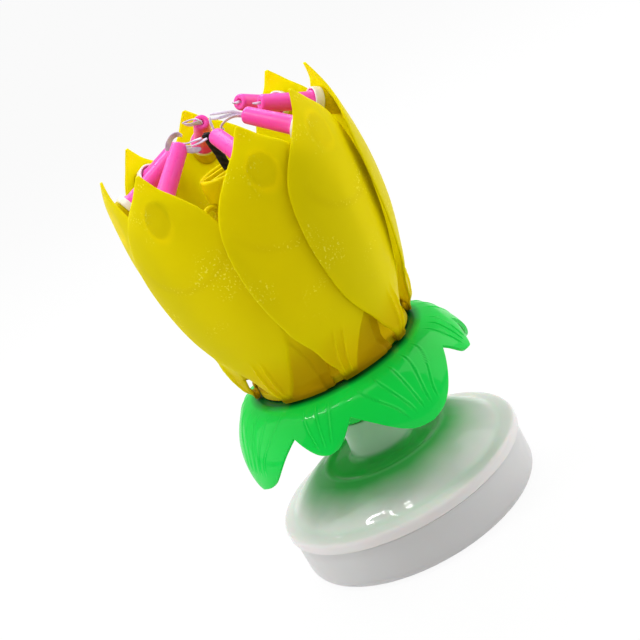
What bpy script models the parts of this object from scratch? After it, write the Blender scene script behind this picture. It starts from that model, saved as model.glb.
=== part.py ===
"""Musical birthday candle: a closed plastic flower that turns on a round music base.

Metres, +Z up, origin at the middle of the base's flat underside.
The camera side of the flower is -Y.
"""
import math

import bmesh
import bpy
from mathutils import Matrix, Vector

# Driving dimensions
BASE_STEPS = 32
CUP_RADIUS = 0.0326
CUP_HEIGHT = 0.0120
CUP_CORNER = 0.0030
WALL = 0.0016
GAP = 0.0003
RIM_RADIUS = 0.0334
RIM_BOTTOM = CUP_HEIGHT + GAP
RIM_TOP = 0.0150
DOME_EDGE_RADIUS = 0.0312
DOME_FALL = 1.7
BEAD_RADIUS = 0.0167
BEAD_HEIGHT = 0.0224
NECK_FOOT_RADIUS = 0.0087
NECK_FOOT_HEIGHT = 0.0245
NECK_TOP_RADIUS = 0.0074
NECK_TOP = 0.0332

SPINDLE_RADIUS = 0.0035
SPINDLE_FOOT = 0.0030
SPINDLE_TOP = 0.0502
CALYX_STEM_RADIUS = 0.0082
CALYX_RIM_RADIUS = 0.0227
CALYX_RIM = 0.0502
LEAF_THICKNESS = 0.0009

PETAL_COUNT = 8
PETAL_STEP = 2 * math.pi / PETAL_COUNT
FIRST_PETAL_ANGLE = math.radians(-87.0)
PETAL_LEANS = [math.radians(a) for a in (7.5, -0.5)]
LEAN_START = 0.0540
LEAN_END = 0.0730
HINGE_RADIUS = 0.0220
HINGE_HEIGHT = 0.0516
HINGE_BEAD_RADIUS = 0.0009
HINGE_BEAD_LENGTH = 0.0070
PETAL_TIP_HEIGHT = 0.1180
PETAL_THICKNESS = 0.0009
BELLY_RADIUS = 0.0324
BELLY_HEIGHT = 0.0950
BELLY_FALL_LOW = 4.75
BELLY_FALL_HIGH = 6.6
PETAL_SHINGLE = 0.0022
STRAP_TOP = 0.0640
STRAP_RISE = 0.0009
STRAP_HALF_WIDTH = 0.0019

CANDLE_RISE = math.radians(27.5)
CANDLE_FOOT_RADIUS_AT = 0.0306
CANDLE_FOOT_HEIGHT = 0.1067
CANDLE_RADIUS = 0.0022
CANDLE_FOOT_RADIUS = 0.0028
CANDLE_SIDES = 9
CANDLE_TIP_REACH = 0.0202
CANDLE_CUP_RADIUS = 0.0036
CANDLE_CUP_WALL = 0.0005
CANDLE_CUP_REACH = 0.0064
CANDLE_BOSS_REACH = 0.0030

FOUNTAIN_CUP_RADIUS = 0.0090
FOUNTAIN_CUP_RIM = 0.1047
FOUNTAIN_STEM_RADIUS = 0.0054
FOUNTAIN_BORE_RADIUS = 0.0046
FUSE_RADIUS = 0.00115

GEAR_MODULE = 0.0006
SPINDLE_GEAR_TEETH = 40
IDLER_SMALL_TEETH = 10
IDLER_LARGE_TEETH = 30
PINION_TEETH = 8
IDLER_ANGLE = math.radians(150)
MOTOR_RADIUS = 0.0060
MOTOR_DISTANCE = 0.0195
SCREW_CIRCLE = 0.0274
SCREW_ANGLES = [math.radians(a) for a in (40, 160, 280)]
CELL_RADIUS = 0.0058
CELL_LENGTH = 0.0054
CELL_PITCH = CELL_LENGTH + GAP
BATTERY_X = 0.0203
BUZZER_AT = (0.0020, 0.0190)
BOARD_AT = (-0.0075, -0.0185)


def clear_scene():
    for item in list(bpy.data.objects):
        bpy.data.objects.remove(item, do_unlink=True)


def make_material(name, colour, roughness, metallic=0.0):
    material = bpy.data.materials.new(name)
    material.use_nodes = True
    shader = material.node_tree.nodes["Principled BSDF"]
    shader.inputs["Base Color"].default_value = (*colour, 1.0)
    shader.inputs["Roughness"].default_value = roughness
    shader.inputs["Metallic"].default_value = metallic
    return material


def make_palette():
    return {
        "base_white": make_material("base_white", (0.80, 0.80, 0.80), 0.30),
        "lid_white": make_material("lid_white", (0.84, 0.84, 0.83), 0.18),
        "leaf_green": make_material("leaf_green", (0.01, 0.52, 0.06), 0.22),
        "petal_yellow": make_material("petal_yellow", (0.80, 0.68, 0.0), 0.35),
        "candle_pink": make_material("candle_pink", (1.0, 0.06, 0.40), 0.35),
        "cup_white": make_material("cup_white", (0.92, 0.92, 0.90), 0.35),
        "wick_lavender": make_material("wick_lavender", (0.80, 0.72, 0.90), 0.70),
        "fuse_black": make_material("fuse_black", (0.01, 0.01, 0.01), 0.80),
        "paper": make_material("paper", (0.72, 0.66, 0.55), 0.85),
        "gear_white": make_material("gear_white", (0.85, 0.84, 0.78), 0.40),
        "steel": make_material("steel", (0.62, 0.62, 0.64), 0.30, 1.0),
        "brass": make_material("brass", (0.78, 0.57, 0.22), 0.30, 1.0),
        "board_green": make_material("board_green", (0.02, 0.20, 0.07), 0.45),
        "resin_black": make_material("resin_black", (0.02, 0.02, 0.02), 0.35),
        "ceramic": make_material("ceramic", (0.88, 0.86, 0.80), 0.50),
    }


def finish_mesh(name, shape, material, sharp_degrees=35):
    """Turn a bmesh into an object with outward faces and smooth round sides."""
    bmesh.ops.recalc_face_normals(shape, faces=shape.faces)
    mesh = bpy.data.meshes.new(name)
    shape.to_mesh(mesh)
    shape.free()
    mesh.shade_smooth()
    mesh.set_sharp_from_angle(angle=math.radians(sharp_degrees))
    mesh.materials.append(material)
    part = bpy.data.objects.new(name, mesh)
    bpy.context.collection.objects.link(part)
    return part


def add_turned(shape, outline_at, steps, frame=None):
    """Add a body turned about the frame's Z axis.

    outline_at(angle) gives the closed (radius, height) outline at that angle, always with as many points.
    """
    frame = frame or Matrix.Identity(4)
    columns = []
    poles = {}
    for step in range(steps):
        angle = 2 * math.pi * step / steps
        column = []
        for index, (radius, height) in enumerate(outline_at(angle)):
            if radius > 1e-7:
                column.append(shape.verts.new(frame @ Vector((*polar(radius, angle), height))))
                continue
            if index not in poles:
                poles[index] = shape.verts.new(frame @ Vector((0, 0, height)))
            column.append(poles[index])
        columns.append(column)
    for here, there in zip(columns, columns[1:] + columns[:1]):
        for j in range(len(here)):
            k = (j + 1) % len(here)
            corners = list(dict.fromkeys((here[j], there[j], there[k], here[k])))
            if len(corners) > 2:
                shape.faces.new(corners)


def add_revolve(shape, profile, steps, frame=None):
    """Add a closed (radius, height) outline turned about the frame's Z axis."""
    add_turned(shape, lambda angle: profile, steps, frame)


def add_prism(shape, outline, low, high, frame=None):
    """Add a closed (x, y) outline raised from low to high; either may be a list, one for each corner."""
    frame = frame or Matrix.Identity(4)
    ends = []
    for level in (low, high):
        levels = level if isinstance(level, list) else [level] * len(outline)
        ends.append([shape.verts.new(frame @ Vector((x, y, z))) for (x, y), z in zip(outline, levels)])
    bottom, top = ends
    shape.faces.new(bottom)
    shape.faces.new(top)
    for i in range(len(outline)):
        j = (i + 1) % len(outline)
        shape.faces.new((bottom[i], bottom[j], top[j], top[i]))


def ring_outline(radius, sides, x=0.0, y=0.0):
    return [(x + radius * math.cos(a), y + radius * math.sin(a))
            for a in (2 * math.pi * i / sides for i in range(sides))]


def add_box(shape, centre, size, frame=None):
    x, y, z = centre
    a, b, c = (s / 2 for s in size)
    outline = [(x - a, y - b), (x + a, y - b), (x + a, y + b), (x - a, y + b)]
    add_prism(shape, outline, z - c, z + c, frame)


def cylinder_profile(radius, low, high):
    return [(0, low), (radius, low), (radius, high), (0, high)]


def tube_profile(outer, inner, low, high):
    return [(inner, low), (outer, low), (outer, high), (inner, high)]


def arc(centre, radius, start, end, count):
    """Points of a round corner in the (radius, height) plane, angles in degrees."""
    points = []
    for i in range(count):
        angle = math.radians(start + (end - start) * i / (count - 1))
        points.append((centre[0] + radius * math.cos(angle), centre[1] + radius * math.sin(angle)))
    return points


def smooth_line(points, per_span):
    """A Catmull-Rom curve through a few points of an outline."""
    ends = [points[0]] + list(points) + [points[-1]]
    result = []
    for i in range(1, len(ends) - 2):
        for step in range(per_span):
            t = step / per_span
            p0, p1, p2, p3 = (Vector(ends[i + k]) for k in (-1, 0, 1, 2))
            result.append(tuple(0.5 * (2 * p1 + (p2 - p0) * t + (2 * p0 - 5 * p1 + 4 * p2 - p3) * t ** 2
                                       + (3 * p1 - p0 - 3 * p2 + p3) * t ** 3)))
    result.append(tuple(points[-1]))
    return result


def at(x, y, z=0.0):
    return Matrix.Translation((x, y, z))


def polar(radius, angle):
    return radius * math.cos(angle), radius * math.sin(angle)


def apply_boolean(part, helper, operation):
    """Join a helper shape to a part or cut it away, then drop the helper."""
    modifier = part.modifiers.new(operation.lower(), "BOOLEAN")
    modifier.operation = operation
    modifier.object = helper
    modifier.solver = "EXACT"
    helper.hide_render = True
    helper.display_type = "WIRE"
    graph = bpy.context.evaluated_depsgraph_get()
    result = bpy.data.meshes.new_from_object(part.evaluated_get(graph))
    part.modifiers.remove(modifier)
    part.data = result
    bpy.data.objects.remove(helper, do_unlink=True)
    part.data.shade_smooth()
    part.data.set_sharp_from_angle(angle=math.radians(35))
    return part


def helper_from(shape, material):
    return finish_mesh("helper", shape, material)


def revolved(name, profile, steps, material, frame=None):
    shape = bmesh.new()
    add_revolve(shape, profile, steps, frame)
    return finish_mesh(name, shape, material)


# Base: the cup that stands on the table

def screw_places():
    return [polar(SCREW_CIRCLE, angle) for angle in SCREW_ANGLES]


def idler_place():
    distance = GEAR_MODULE * (SPINDLE_GEAR_TEETH + IDLER_SMALL_TEETH) / 2
    return polar(distance, IDLER_ANGLE)


def motor_place():
    """The motor stands where its pinion meets the idler's large wheel."""
    near = GEAR_MODULE * (SPINDLE_GEAR_TEETH + IDLER_SMALL_TEETH) / 2
    reach = GEAR_MODULE * (IDLER_LARGE_TEETH + PINION_TEETH) / 2
    cosine = (near ** 2 + MOTOR_DISTANCE ** 2 - reach ** 2) / (2 * near * MOTOR_DISTANCE)
    return polar(MOTOR_DISTANCE, IDLER_ANGLE + math.acos(cosine))


def build_base_cup(palette):
    floor = WALL
    profile = [(0, 0)]
    profile += arc((CUP_RADIUS - CUP_CORNER, CUP_CORNER), CUP_CORNER, -90, 0, 3)
    profile += [(CUP_RADIUS, CUP_HEIGHT), (CUP_RADIUS - WALL, CUP_HEIGHT)]
    profile += [(CUP_RADIUS - WALL, 0.0030), (CUP_RADIUS - 0.0030, floor), (0, floor)]
    cup = revolved("base_cup", profile, BASE_STEPS, palette["base_white"])

    inside = bmesh.new()
    sunk = floor - 0.0005
    for x, y in screw_places():
        add_revolve(inside, cylinder_profile(0.0038, sunk, 0.0080), 8, at(x, y))
    add_revolve(inside, tube_profile(0.0062, 0.0040, sunk, 0.0060), 12)
    add_revolve(inside, cylinder_profile(0.0024, sunk, 0.0100), 8, at(*idler_place()))
    add_revolve(inside, tube_profile(MOTOR_RADIUS + 0.0018, MOTOR_RADIUS + 0.0005, sunk, 0.0070), 14,
                at(*motor_place()))
    add_revolve(inside, tube_profile(0.0106, 0.0094, sunk, 0.0026), 14, at(*BUZZER_AT))
    for side in (-1, 1):
        add_box(inside, (BATTERY_X, side * 0.0110, 0.0051), (0.0120, 0.0012, 0.0080))
    for side in (-1, 1):
        add_box(inside, (BATTERY_X + side * 0.0045, 0, 0.0022), (0.0012, 0.0150, 0.0020))
    for dx in (-0.0070, 0.0070):
        add_revolve(inside, cylinder_profile(0.0013, sunk, 0.0042), 8, at(BOARD_AT[0] + dx, BOARD_AT[1]))
    apply_boolean(cup, helper_from(inside, palette["base_white"]), "UNION")

    holes = bmesh.new()
    for x, y in screw_places():
        add_revolve(holes, [(0, -0.001), (0.0029, -0.001), (0.0029, 0.0018), (0.0016, 0.0030),
                            (0.0016, 0.0090), (0, 0.0090)], 8, at(x, y))
    add_revolve(holes, cylinder_profile(0.0013, 0.0040, 0.0110), 8, at(*idler_place()))
    sound_holes = [(0, 0)] + [polar(0.0045, k * math.pi / 3) for k in range(6)]
    for dx, dy in sound_holes:
        add_revolve(holes, cylinder_profile(0.0011, -0.001, 0.0020), 6,
                    at(BUZZER_AT[0] + dx, BUZZER_AT[1] + dy))
    return apply_boolean(cup, helper_from(holes, palette["base_white"]), "DIFFERENCE")


def dome_line(inner_radius, inner_height, outer_radius, outer_height, count):
    """The dome falls slowly at first and steeper towards the rim."""
    points = []
    for i in range(count):
        t = i / (count - 1)
        radius = inner_radius + (outer_radius - inner_radius) * t
        points.append((radius, inner_height - (inner_height - outer_height) * t ** DOME_FALL))
    return points


def build_base_lid(palette):
    skin = 0.0015
    lip_outer = CUP_RADIUS - WALL - 0.0004
    lip_inner = lip_outer - 0.0012
    bore = SPINDLE_RADIUS + 0.00035
    bead_top = BEAD_HEIGHT + 0.0007
    outside = [(NECK_TOP_RADIUS, NECK_TOP), (NECK_FOOT_RADIUS, NECK_FOOT_HEIGHT),
               (NECK_FOOT_RADIUS + 0.0009, NECK_FOOT_HEIGHT - 0.0007)]
    outside += [(BEAD_RADIUS - 0.0012, BEAD_HEIGHT + 0.0001), (BEAD_RADIUS - 0.0005, bead_top),
                (BEAD_RADIUS + 0.0003, bead_top)]
    dome_start = (BEAD_RADIUS + 0.0014, BEAD_HEIGHT - 0.0004)
    outside += dome_line(*dome_start, DOME_EDGE_RADIUS, RIM_TOP - 0.0002, 5)
    outside += [(DOME_EDGE_RADIUS + 0.0004, RIM_TOP - 0.0005)]
    outside += arc((RIM_RADIUS - 0.0011, RIM_TOP - 0.0011), 0.0011, 90, 0, 3)
    outside += [(RIM_RADIUS, RIM_BOTTOM + 0.0004), (RIM_RADIUS - 0.0004, RIM_BOTTOM)]
    inside = [(lip_outer, RIM_BOTTOM), (lip_outer, 0.0094), (lip_inner, 0.0094), (lip_inner, 0.0132)]
    inner_dome = dome_line(dome_start[0], dome_start[1] - skin, lip_inner, 0.0132, 4)
    inside += inner_dome[::-1][1:]
    inside += [(0.0090, NECK_FOOT_HEIGHT - 0.0025), (bore, NECK_FOOT_HEIGHT - 0.0025), (bore, NECK_TOP)]
    lid = revolved("base_lid", outside + inside, BASE_STEPS, palette["lid_white"])

    def roof(radius):
        share = (radius - dome_start[0]) / (lip_inner - dome_start[0])
        return dome_start[1] - skin - (dome_start[1] - skin - 0.0132) * min(1.0, share) ** DOME_FALL + 0.0004

    posts = bmesh.new()
    for x, y in screw_places():
        outline = ring_outline(0.0026, 8, x, y)
        add_prism(posts, outline, 0.0083, [roof(math.hypot(*corner)) for corner in outline])
    apply_boolean(lid, helper_from(posts, palette["lid_white"]), "UNION")
    pilots = bmesh.new()
    for x, y in screw_places():
        add_revolve(pilots, cylinder_profile(0.0016, 0.0070, 0.0146), 8, at(x, y))
    return apply_boolean(lid, helper_from(pilots, palette["lid_white"]), "DIFFERENCE")


def cross_outline(reach, half):
    """A cross recess: four arms of the same width."""
    outline = []
    for quarter in range(4):
        turn = Matrix.Rotation(quarter * math.pi / 2, 2)
        for corner in ((reach, -half), (reach, half), (half, half)):
            outline.append(tuple(turn @ Vector(corner)))
    return outline


def build_screws(palette):
    profile = [(0, 0.0004), (0.0025, 0.0004), (0.0026, 0.0012), (0.0013, 0.0026), (0.0013, 0.0138),
               (0, 0.0138)]
    for index, (x, y) in enumerate(screw_places(), start=1):
        screw = revolved(f"case_screw_{index}", profile, 8, palette["steel"])
        slots = bmesh.new()
        add_prism(slots, cross_outline(0.0017, 0.0003), 0.0, 0.0011)
        apply_boolean(screw, helper_from(slots, palette["steel"]), "DIFFERENCE")
        screw.location = (x, y, 0)


# Drive: motor, pinion, idler and spindle gear

def gear_outline(teeth, first_tooth, backlash=0.00010):
    """Involute teeth with a 20 degree pressure angle; the first tooth points along first_tooth."""
    pressure = math.radians(20)
    pitch = GEAR_MODULE * teeth / 2
    base = pitch * math.cos(pressure)
    tip = pitch + 0.85 * GEAR_MODULE
    root = pitch - 1.15 * GEAR_MODULE

    def involute(angle):
        return math.tan(angle) - angle

    def half_width(radius):
        angle = math.acos(min(1.0, base / max(radius, base)))
        return math.pi / (2 * teeth) + involute(pressure) - involute(angle) - backlash / pitch

    rise = (root, pitch, tip) if teeth < 12 else (root, tip)
    outline = []
    for tooth in range(teeth):
        middle = first_tooth + 2 * math.pi * tooth / teeth
        outline += [polar(radius, middle - half_width(radius)) for radius in rise]
        outline += [polar(radius, middle + half_width(radius)) for radius in reversed(rise)]
    return outline


def cut_bore(part, radius, low, high, centre, palette):
    bore = bmesh.new()
    add_revolve(bore, cylinder_profile(radius, low, high), 12, at(*centre))
    return apply_boolean(part, helper_from(bore, palette["steel"]), "DIFFERENCE")


def build_drive(palette):
    idler_x, idler_y = idler_place()
    motor_x, motor_y = motor_place()
    to_motor = math.atan2(motor_y - idler_y, motor_x - idler_x)

    shape = bmesh.new()
    add_prism(shape, gear_outline(SPINDLE_GEAR_TEETH, IDLER_ANGLE), 0.0112, 0.0134)
    spindle_gear = finish_mesh("spindle_gear", shape, palette["gear_white"])
    hub = bmesh.new()
    add_revolve(hub, cylinder_profile(0.0056, 0.0092, 0.0148), 14)
    apply_boolean(spindle_gear, helper_from(hub, palette["gear_white"]), "UNION")
    cut_bore(spindle_gear, SPINDLE_RADIUS + GAP, 0.005, 0.020, (0, 0), palette)

    shape = bmesh.new()
    large = gear_outline(IDLER_LARGE_TEETH, to_motor + math.pi / IDLER_LARGE_TEETH)
    add_prism(shape, large, 0.0142, 0.0160, at(0, 0))
    idler = finish_mesh("idler_gear", shape, palette["gear_white"])
    shape = bmesh.new()
    small = gear_outline(IDLER_SMALL_TEETH, IDLER_ANGLE + math.pi + math.pi / IDLER_SMALL_TEETH)
    add_prism(shape, small, 0.0106, 0.0148)
    apply_boolean(idler, helper_from(shape, palette["gear_white"]), "UNION")
    cut_bore(idler, 0.0013, 0.005, 0.020, (0, 0), palette)
    idler.location = (idler_x, idler_y, 0)

    pin = revolved("idler_pin", cylinder_profile(0.0010, 0.0043, 0.0168), 8, palette["steel"])
    pin.location = (idler_x, idler_y, 0)

    can = [(0, 0.0020), (0.0020, 0.0020), (0.0020, 0.0026), (MOTOR_RADIUS, 0.0026), (MOTOR_RADIUS, 0.0130)]
    can += [(0.0022, 0.0130), (0.0022, 0.0137), (0.0011, 0.0137), (0.0011, 0.0100), (0, 0.0100)]
    motor = revolved("motor", can, 14, palette["steel"])
    motor.location = (motor_x, motor_y, 0)
    shaft = revolved("motor_shaft", cylinder_profile(0.00075, 0.0103, 0.0166), 8, palette["steel"])
    shaft.location = (motor_x, motor_y, 0)
    shape = bmesh.new()
    add_prism(shape, gear_outline(PINION_TEETH, to_motor + math.pi), 0.0140, 0.0162)
    pinion = finish_mesh("motor_pinion", shape, palette["brass"])
    cut_bore(pinion, 0.00105, 0.010, 0.020, (0, 0), palette)
    pinion.location = (motor_x, motor_y, 0)


# Electronics: cells, contacts, board and buzzer

def build_battery(palette):
    lying = Matrix.Rotation(math.radians(-90), 4, "X")
    axis_height = 0.0034 + CELL_RADIUS
    for index in range(3):
        low = (index - 1.5) * CELL_PITCH + GAP / 2
        high = low + CELL_LENGTH
        profile = [(0, low), (CELL_RADIUS - 0.0005, low), (CELL_RADIUS, low + 0.0005),
                   (CELL_RADIUS, high - 0.0004), (0.0044, high - 0.0004), (0.0042, high), (0, high)]
        cell = revolved(f"button_cell_{index + 1}", profile, 14, palette["steel"])
        cell.matrix_world = at(BATTERY_X, 0, axis_height) @ lying
    for name, side in (("battery_contact_plus", 1), ("battery_contact_minus", -1)):
        shape = bmesh.new()
        outline = [(-0.0040, 0), (0.0040, 0), (0.0040, 0.0004), (0.0018, 0.0004), (0.0012, 0.0011),
                   (-0.0012, 0.0011), (-0.0018, 0.0004), (-0.0040, 0.0004)]
        add_prism(shape, outline, 0.0036, 0.0120)
        contact = finish_mesh(name, shape, palette["brass"])
        contact.location = (BATTERY_X, side * 0.0101, 0)
        contact.rotation_euler = (0, 0, math.pi if side > 0 else 0)


def build_electronics(palette):
    board_x, board_y = BOARD_AT
    shape = bmesh.new()
    add_box(shape, (board_x, board_y, 0.0050), (0.0160, 0.0130, 0.0010))
    finish_mesh("circuit_board", shape, palette["board_green"])
    blob = [(0, 0.0058), (0.0032, 0.0058), (0.0030, 0.0064), (0.0020, 0.0071), (0, 0.0074)]
    chip = revolved("chip_blob", blob, 12, palette["resin_black"])
    chip.location = (board_x + 0.0035, board_y, 0)
    bulb = [(0, 0.0058), (0.0015, 0.0058), (0.0015, 0.0090), (0.0011, 0.0100), (0, 0.0104)]
    sensor = revolved("start_sensor", bulb, 10, palette["resin_black"])
    sensor.location = (board_x - 0.0055, board_y + 0.0030, 0)
    disc = revolved("buzzer_disc", cylinder_profile(0.0100, 0.0029, 0.0032), 20, palette["brass"])
    disc.location = (*BUZZER_AT, 0)
    ceramic = revolved("buzzer_ceramic", cylinder_profile(0.0070, 0.0035, 0.0038), 16, palette["ceramic"])
    ceramic.location = (*BUZZER_AT, 0)


# Flower: spindle, calyx and hub

def build_spindle(palette):
    profile = [(0, SPINDLE_FOOT), (0.0020, SPINDLE_FOOT), (SPINDLE_RADIUS, SPINDLE_FOOT + 0.0015),
               (SPINDLE_RADIUS, SPINDLE_TOP), (0.0016, SPINDLE_TOP), (0.0016, SPINDLE_TOP - 0.0100),
               (0, SPINDLE_TOP - 0.0100)]
    revolved("spindle", profile, 14, palette["gear_white"])


def leaf_end_height(angle):
    """Four broad leaves and four narrow ones in turn, each ending in a soft point."""
    broad_half, narrow_half = math.radians(30), math.radians(15)
    notch_height, broad_tip, narrow_tip = 0.0447, 0.0325, 0.0390
    from_broad = (angle - math.radians(-67.5) + math.pi / 4) % (math.pi / 2) - math.pi / 4
    if abs(from_broad) <= broad_half + 1e-6:
        share = abs(from_broad) / broad_half
        return broad_tip + (notch_height - broad_tip) * share ** 1.4
    share = (math.pi / 4 - abs(from_broad)) / narrow_half
    return narrow_tip + (notch_height - narrow_tip) * share ** 1.3


def leaf_section(angle, line, rows):
    """Inner and outer points of a leaf from the rim to where it ends at this angle."""
    end = leaf_end_height(angle)
    last = next(i for i, point in enumerate(line) if point[1] <= end)
    reach = last - 1 + (line[last - 1][1] - end) / (line[last - 1][1] - line[last][1])
    outer, inner = [], []
    for row in range(rows + 1):
        place = reach * row / rows
        i = min(int(place), len(line) - 2)
        here, there = Vector(line[i]), Vector(line[i + 1])
        spot = here.lerp(there, place - i)
        inward = Vector((there.y - here.y, here.x - there.x)).normalized()
        outer.append(tuple(spot))
        inner.append(tuple(spot + inward * LEAF_THICKNESS))
    return inner, outer


def build_calyx(palette):
    bore = SPINDLE_RADIUS + 0.00035
    foot = NECK_TOP + 0.0006
    trumpet = [(bore, foot), (CALYX_STEM_RADIUS, foot), (CALYX_STEM_RADIUS, 0.0368), (0.0098, 0.0408),
               (0.0140, 0.0450), (0.0190, 0.0475)]
    pan = [(0.0208, CALYX_RIM), (0.0190, 0.0490), (bore, 0.0430)]
    line = smooth_line([(CALYX_RIM_RADIUS, 0.0499), (0.0250, 0.0494), (0.0281, 0.0477), (0.0313, 0.0432),
                        (0.0335, 0.0378), (0.0343, 0.0325), (0.0338, 0.0290)], 6)

    def outline_at(angle):
        inner, outer = leaf_section(angle, line, 4)
        return trumpet + inner + outer[::-1] + pan

    shape = bmesh.new()
    add_turned(shape, outline_at, 48)
    return finish_mesh("calyx", shape, palette["leaf_green"])


def petal_angles():
    return [FIRST_PETAL_ANGLE + PETAL_STEP * k for k in range(PETAL_COUNT)]


def build_petal_hub(palette):
    low, high = CALYX_RIM + 0.0004, 0.0524
    profile = [(0.0016, low), (0.0226, low), (0.0226, high), (0.0204, high), (0.0194, high - 0.0006),
               (0.0016, high - 0.0006)]
    hub = revolved("petal_hub", profile, 32, palette["petal_yellow"])
    slots = bmesh.new()
    for angle in petal_angles():
        turn = Matrix.Rotation(angle, 4, "Z")
        width = HINGE_BEAD_LENGTH + 0.0008
        inner_edge = HINGE_RADIUS - HINGE_BEAD_RADIUS - GAP
        add_box(slots, (inner_edge + 0.002, 0, 0.0515), (0.0040, width, 0.0040), turn)
    apply_boolean(hub, helper_from(slots, palette["petal_yellow"]), "DIFFERENCE")
    screw = [(0, SPINDLE_TOP - 0.0080), (0.0012, SPINDLE_TOP - 0.0076), (0.0012, 0.0525),
             (0.0028, 0.0525), (0.0028, 0.0534), (0.0020, 0.0542), (0, 0.0542)]
    revolved("hub_screw", screw, 10, palette["steel"])


# Fountain in the middle of the flower

def build_fountain(palette):
    foot = 0.0525
    stem, bore, rim = FOUNTAIN_STEM_RADIUS, FOUNTAIN_BORE_RADIUS, FOUNTAIN_CUP_RIM
    cup_floor = rim - 0.0062
    profile = [(bore, foot), (0.0080, foot), (0.0080, foot + 0.0012), (stem + 0.0006, foot + 0.0020),
               (stem, foot + 0.0060), (stem, cup_floor - 0.0040), (FOUNTAIN_CUP_RADIUS + 0.0004, cup_floor),
               (FOUNTAIN_CUP_RADIUS, rim - 0.0004), (FOUNTAIN_CUP_RADIUS - 0.0004, rim),
               (FOUNTAIN_CUP_RADIUS - 0.0009, rim - 0.0003), (FOUNTAIN_CUP_RADIUS - 0.0007, cup_floor + 0.0006),
               (bore, cup_floor - 0.0024)]
    holder = revolved("fountain_holder", profile, 16, palette["petal_yellow"])
    extras = bmesh.new()
    turn = Matrix.Rotation(math.radians(23.5), 4, "Z")
    for side in (-1, 1):
        add_box(extras, (0, side * 0.0026, rim - 0.0014), (0.0158, 0.0008, 0.0014), turn)
    apply_boolean(holder, helper_from(extras, palette["petal_yellow"]), "UNION")
    for angle in (math.radians(-127), math.radians(53)):
        loop = bmesh.new()
        frame = Matrix.Rotation(angle, 4, "Z") @ at(stem + 0.0028, 0, cup_floor - 0.0036)
        frame = frame @ Matrix.Rotation(math.radians(90), 4, "X")
        steps, sides = 10, 4
        rings = []
        for i in range(steps):
            a = 2 * math.pi * i / steps
            centre = Vector((0.0030 * math.cos(a), 0.0026 * math.sin(a), 0))
            outward = Vector((math.cos(a), math.sin(a), 0))
            ring = []
            for j in range(sides):
                b = 2 * math.pi * j / sides
                spot = centre + outward * 0.0007 * math.cos(b) + Vector((0, 0, 0.0009 * math.sin(b)))
                ring.append(loop.verts.new(frame @ spot))
            rings.append(ring)
        for i in range(steps):
            for j in range(sides):
                a, b = rings[i], rings[(i + 1) % steps]
                loop.faces.new((a[j], a[(j + 1) % sides], b[(j + 1) % sides], b[j]))
        apply_boolean(holder, helper_from(loop, palette["petal_yellow"]), "UNION")

    tube_top = cup_floor - 0.0006
    tube = [(0, 0.0550), (bore - 0.00035, 0.0550), (bore - 0.00035, tube_top), (0.0032, tube_top),
            (0.0030, tube_top - 0.0010), (0.0015, tube_top - 0.0010), (0.0015, tube_top - 0.0060),
            (0, tube_top - 0.0060)]
    revolved("fountain_tube", tube, 14, palette["paper"])
    shape = bmesh.new()
    steps, sides = 5, 8
    low, high = tube_top - 0.0055, 0.1155
    rings = []
    for i in range(steps + 1):
        t = i / steps
        lean = 0.0011 * max(0.0, t - 0.35) ** 2
        centre = Vector((-lean * 1.5, -lean, low + (high - low) * t))
        rings.append([shape.verts.new(centre + Vector((FUSE_RADIUS * math.cos(2 * math.pi * j / sides),
                                                       FUSE_RADIUS * math.sin(2 * math.pi * j / sides), 0)))
                      for j in range(sides)])
    for a, b in zip(rings, rings[1:]):
        for j in range(sides):
            shape.faces.new((a[j], a[(j + 1) % sides], b[(j + 1) % sides], b[j]))
    shape.faces.new(rings[0])
    shape.faces.new(rings[-1])
    finish_mesh("fountain_fuse", shape, palette["fuse_black"])


# Petals, candles and wicks; each is drawn at angle 0 with its origin on the hinge

def petal_outline():
    """Left and right half width against height; the right side stays wide and tucks under the next petal."""
    return [(0.0022, 0.0022, 0.0526), (0.0025, 0.0141, 0.0533), (0.0064, 0.0153, 0.0605),
            (0.0108, 0.0155, 0.0667), (0.0134, 0.0156, 0.0730), (0.0155, 0.0157, 0.0825),
            (0.0158, 0.0158, 0.0920), (0.0146, 0.0146, 0.0992), (0.0112, 0.0112, 0.1058),
            (0.0060, 0.0060, 0.1115), (0.0005, 0.0005, PETAL_TIP_HEIGHT)]


def petal_radius(height, angle):
    """Outer radius of a closed petal, whose one edge tucks under its neighbour."""
    rise = height - BELLY_HEIGHT
    fall = BELLY_FALL_LOW if rise < 0 else BELLY_FALL_HIGH
    return BELLY_RADIUS - fall * rise ** 2 - PETAL_SHINGLE * angle / PETAL_STEP


def lean_at(height, lean):
    """How far a leaning petal has swung sideways at a height; its foot stays upright."""
    share = min(1.0, max(0.0, (height - LEAN_START) / (LEAN_END - LEAN_START)))
    return lean * share * share * (3 - 2 * share)


def candle_frame(lean):
    """Z runs along the candle, from the petal's inner face towards the wick."""
    direction = Vector((-math.cos(CANDLE_RISE), 0, math.sin(CANDLE_RISE)))
    turn = direction.to_track_quat("Z", "Y").to_matrix().to_4x4()
    swing = at(-HINGE_RADIUS, 0) @ Matrix.Rotation(lean, 4, "Z")
    return swing @ at(CANDLE_FOOT_RADIUS_AT, 0, CANDLE_FOOT_HEIGHT - HINGE_HEIGHT) @ turn


def depth_to_petal(frame, lean, x, y):
    """Where a line beside the candle's axis meets the middle of the petal's thickness."""
    low, high = -0.008, 0.008
    for _ in range(24):
        middle = (low + high) / 2
        spot = frame @ Vector((x, y, middle))
        across = math.atan2(spot.y, spot.x + HINGE_RADIUS) - lean
        skin = petal_radius(spot.z + HINGE_HEIGHT, across) - PETAL_THICKNESS / 2
        if math.hypot(spot.x + HINGE_RADIUS, spot.y) > skin:
            low = middle
        else:
            high = middle
    return middle


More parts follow.
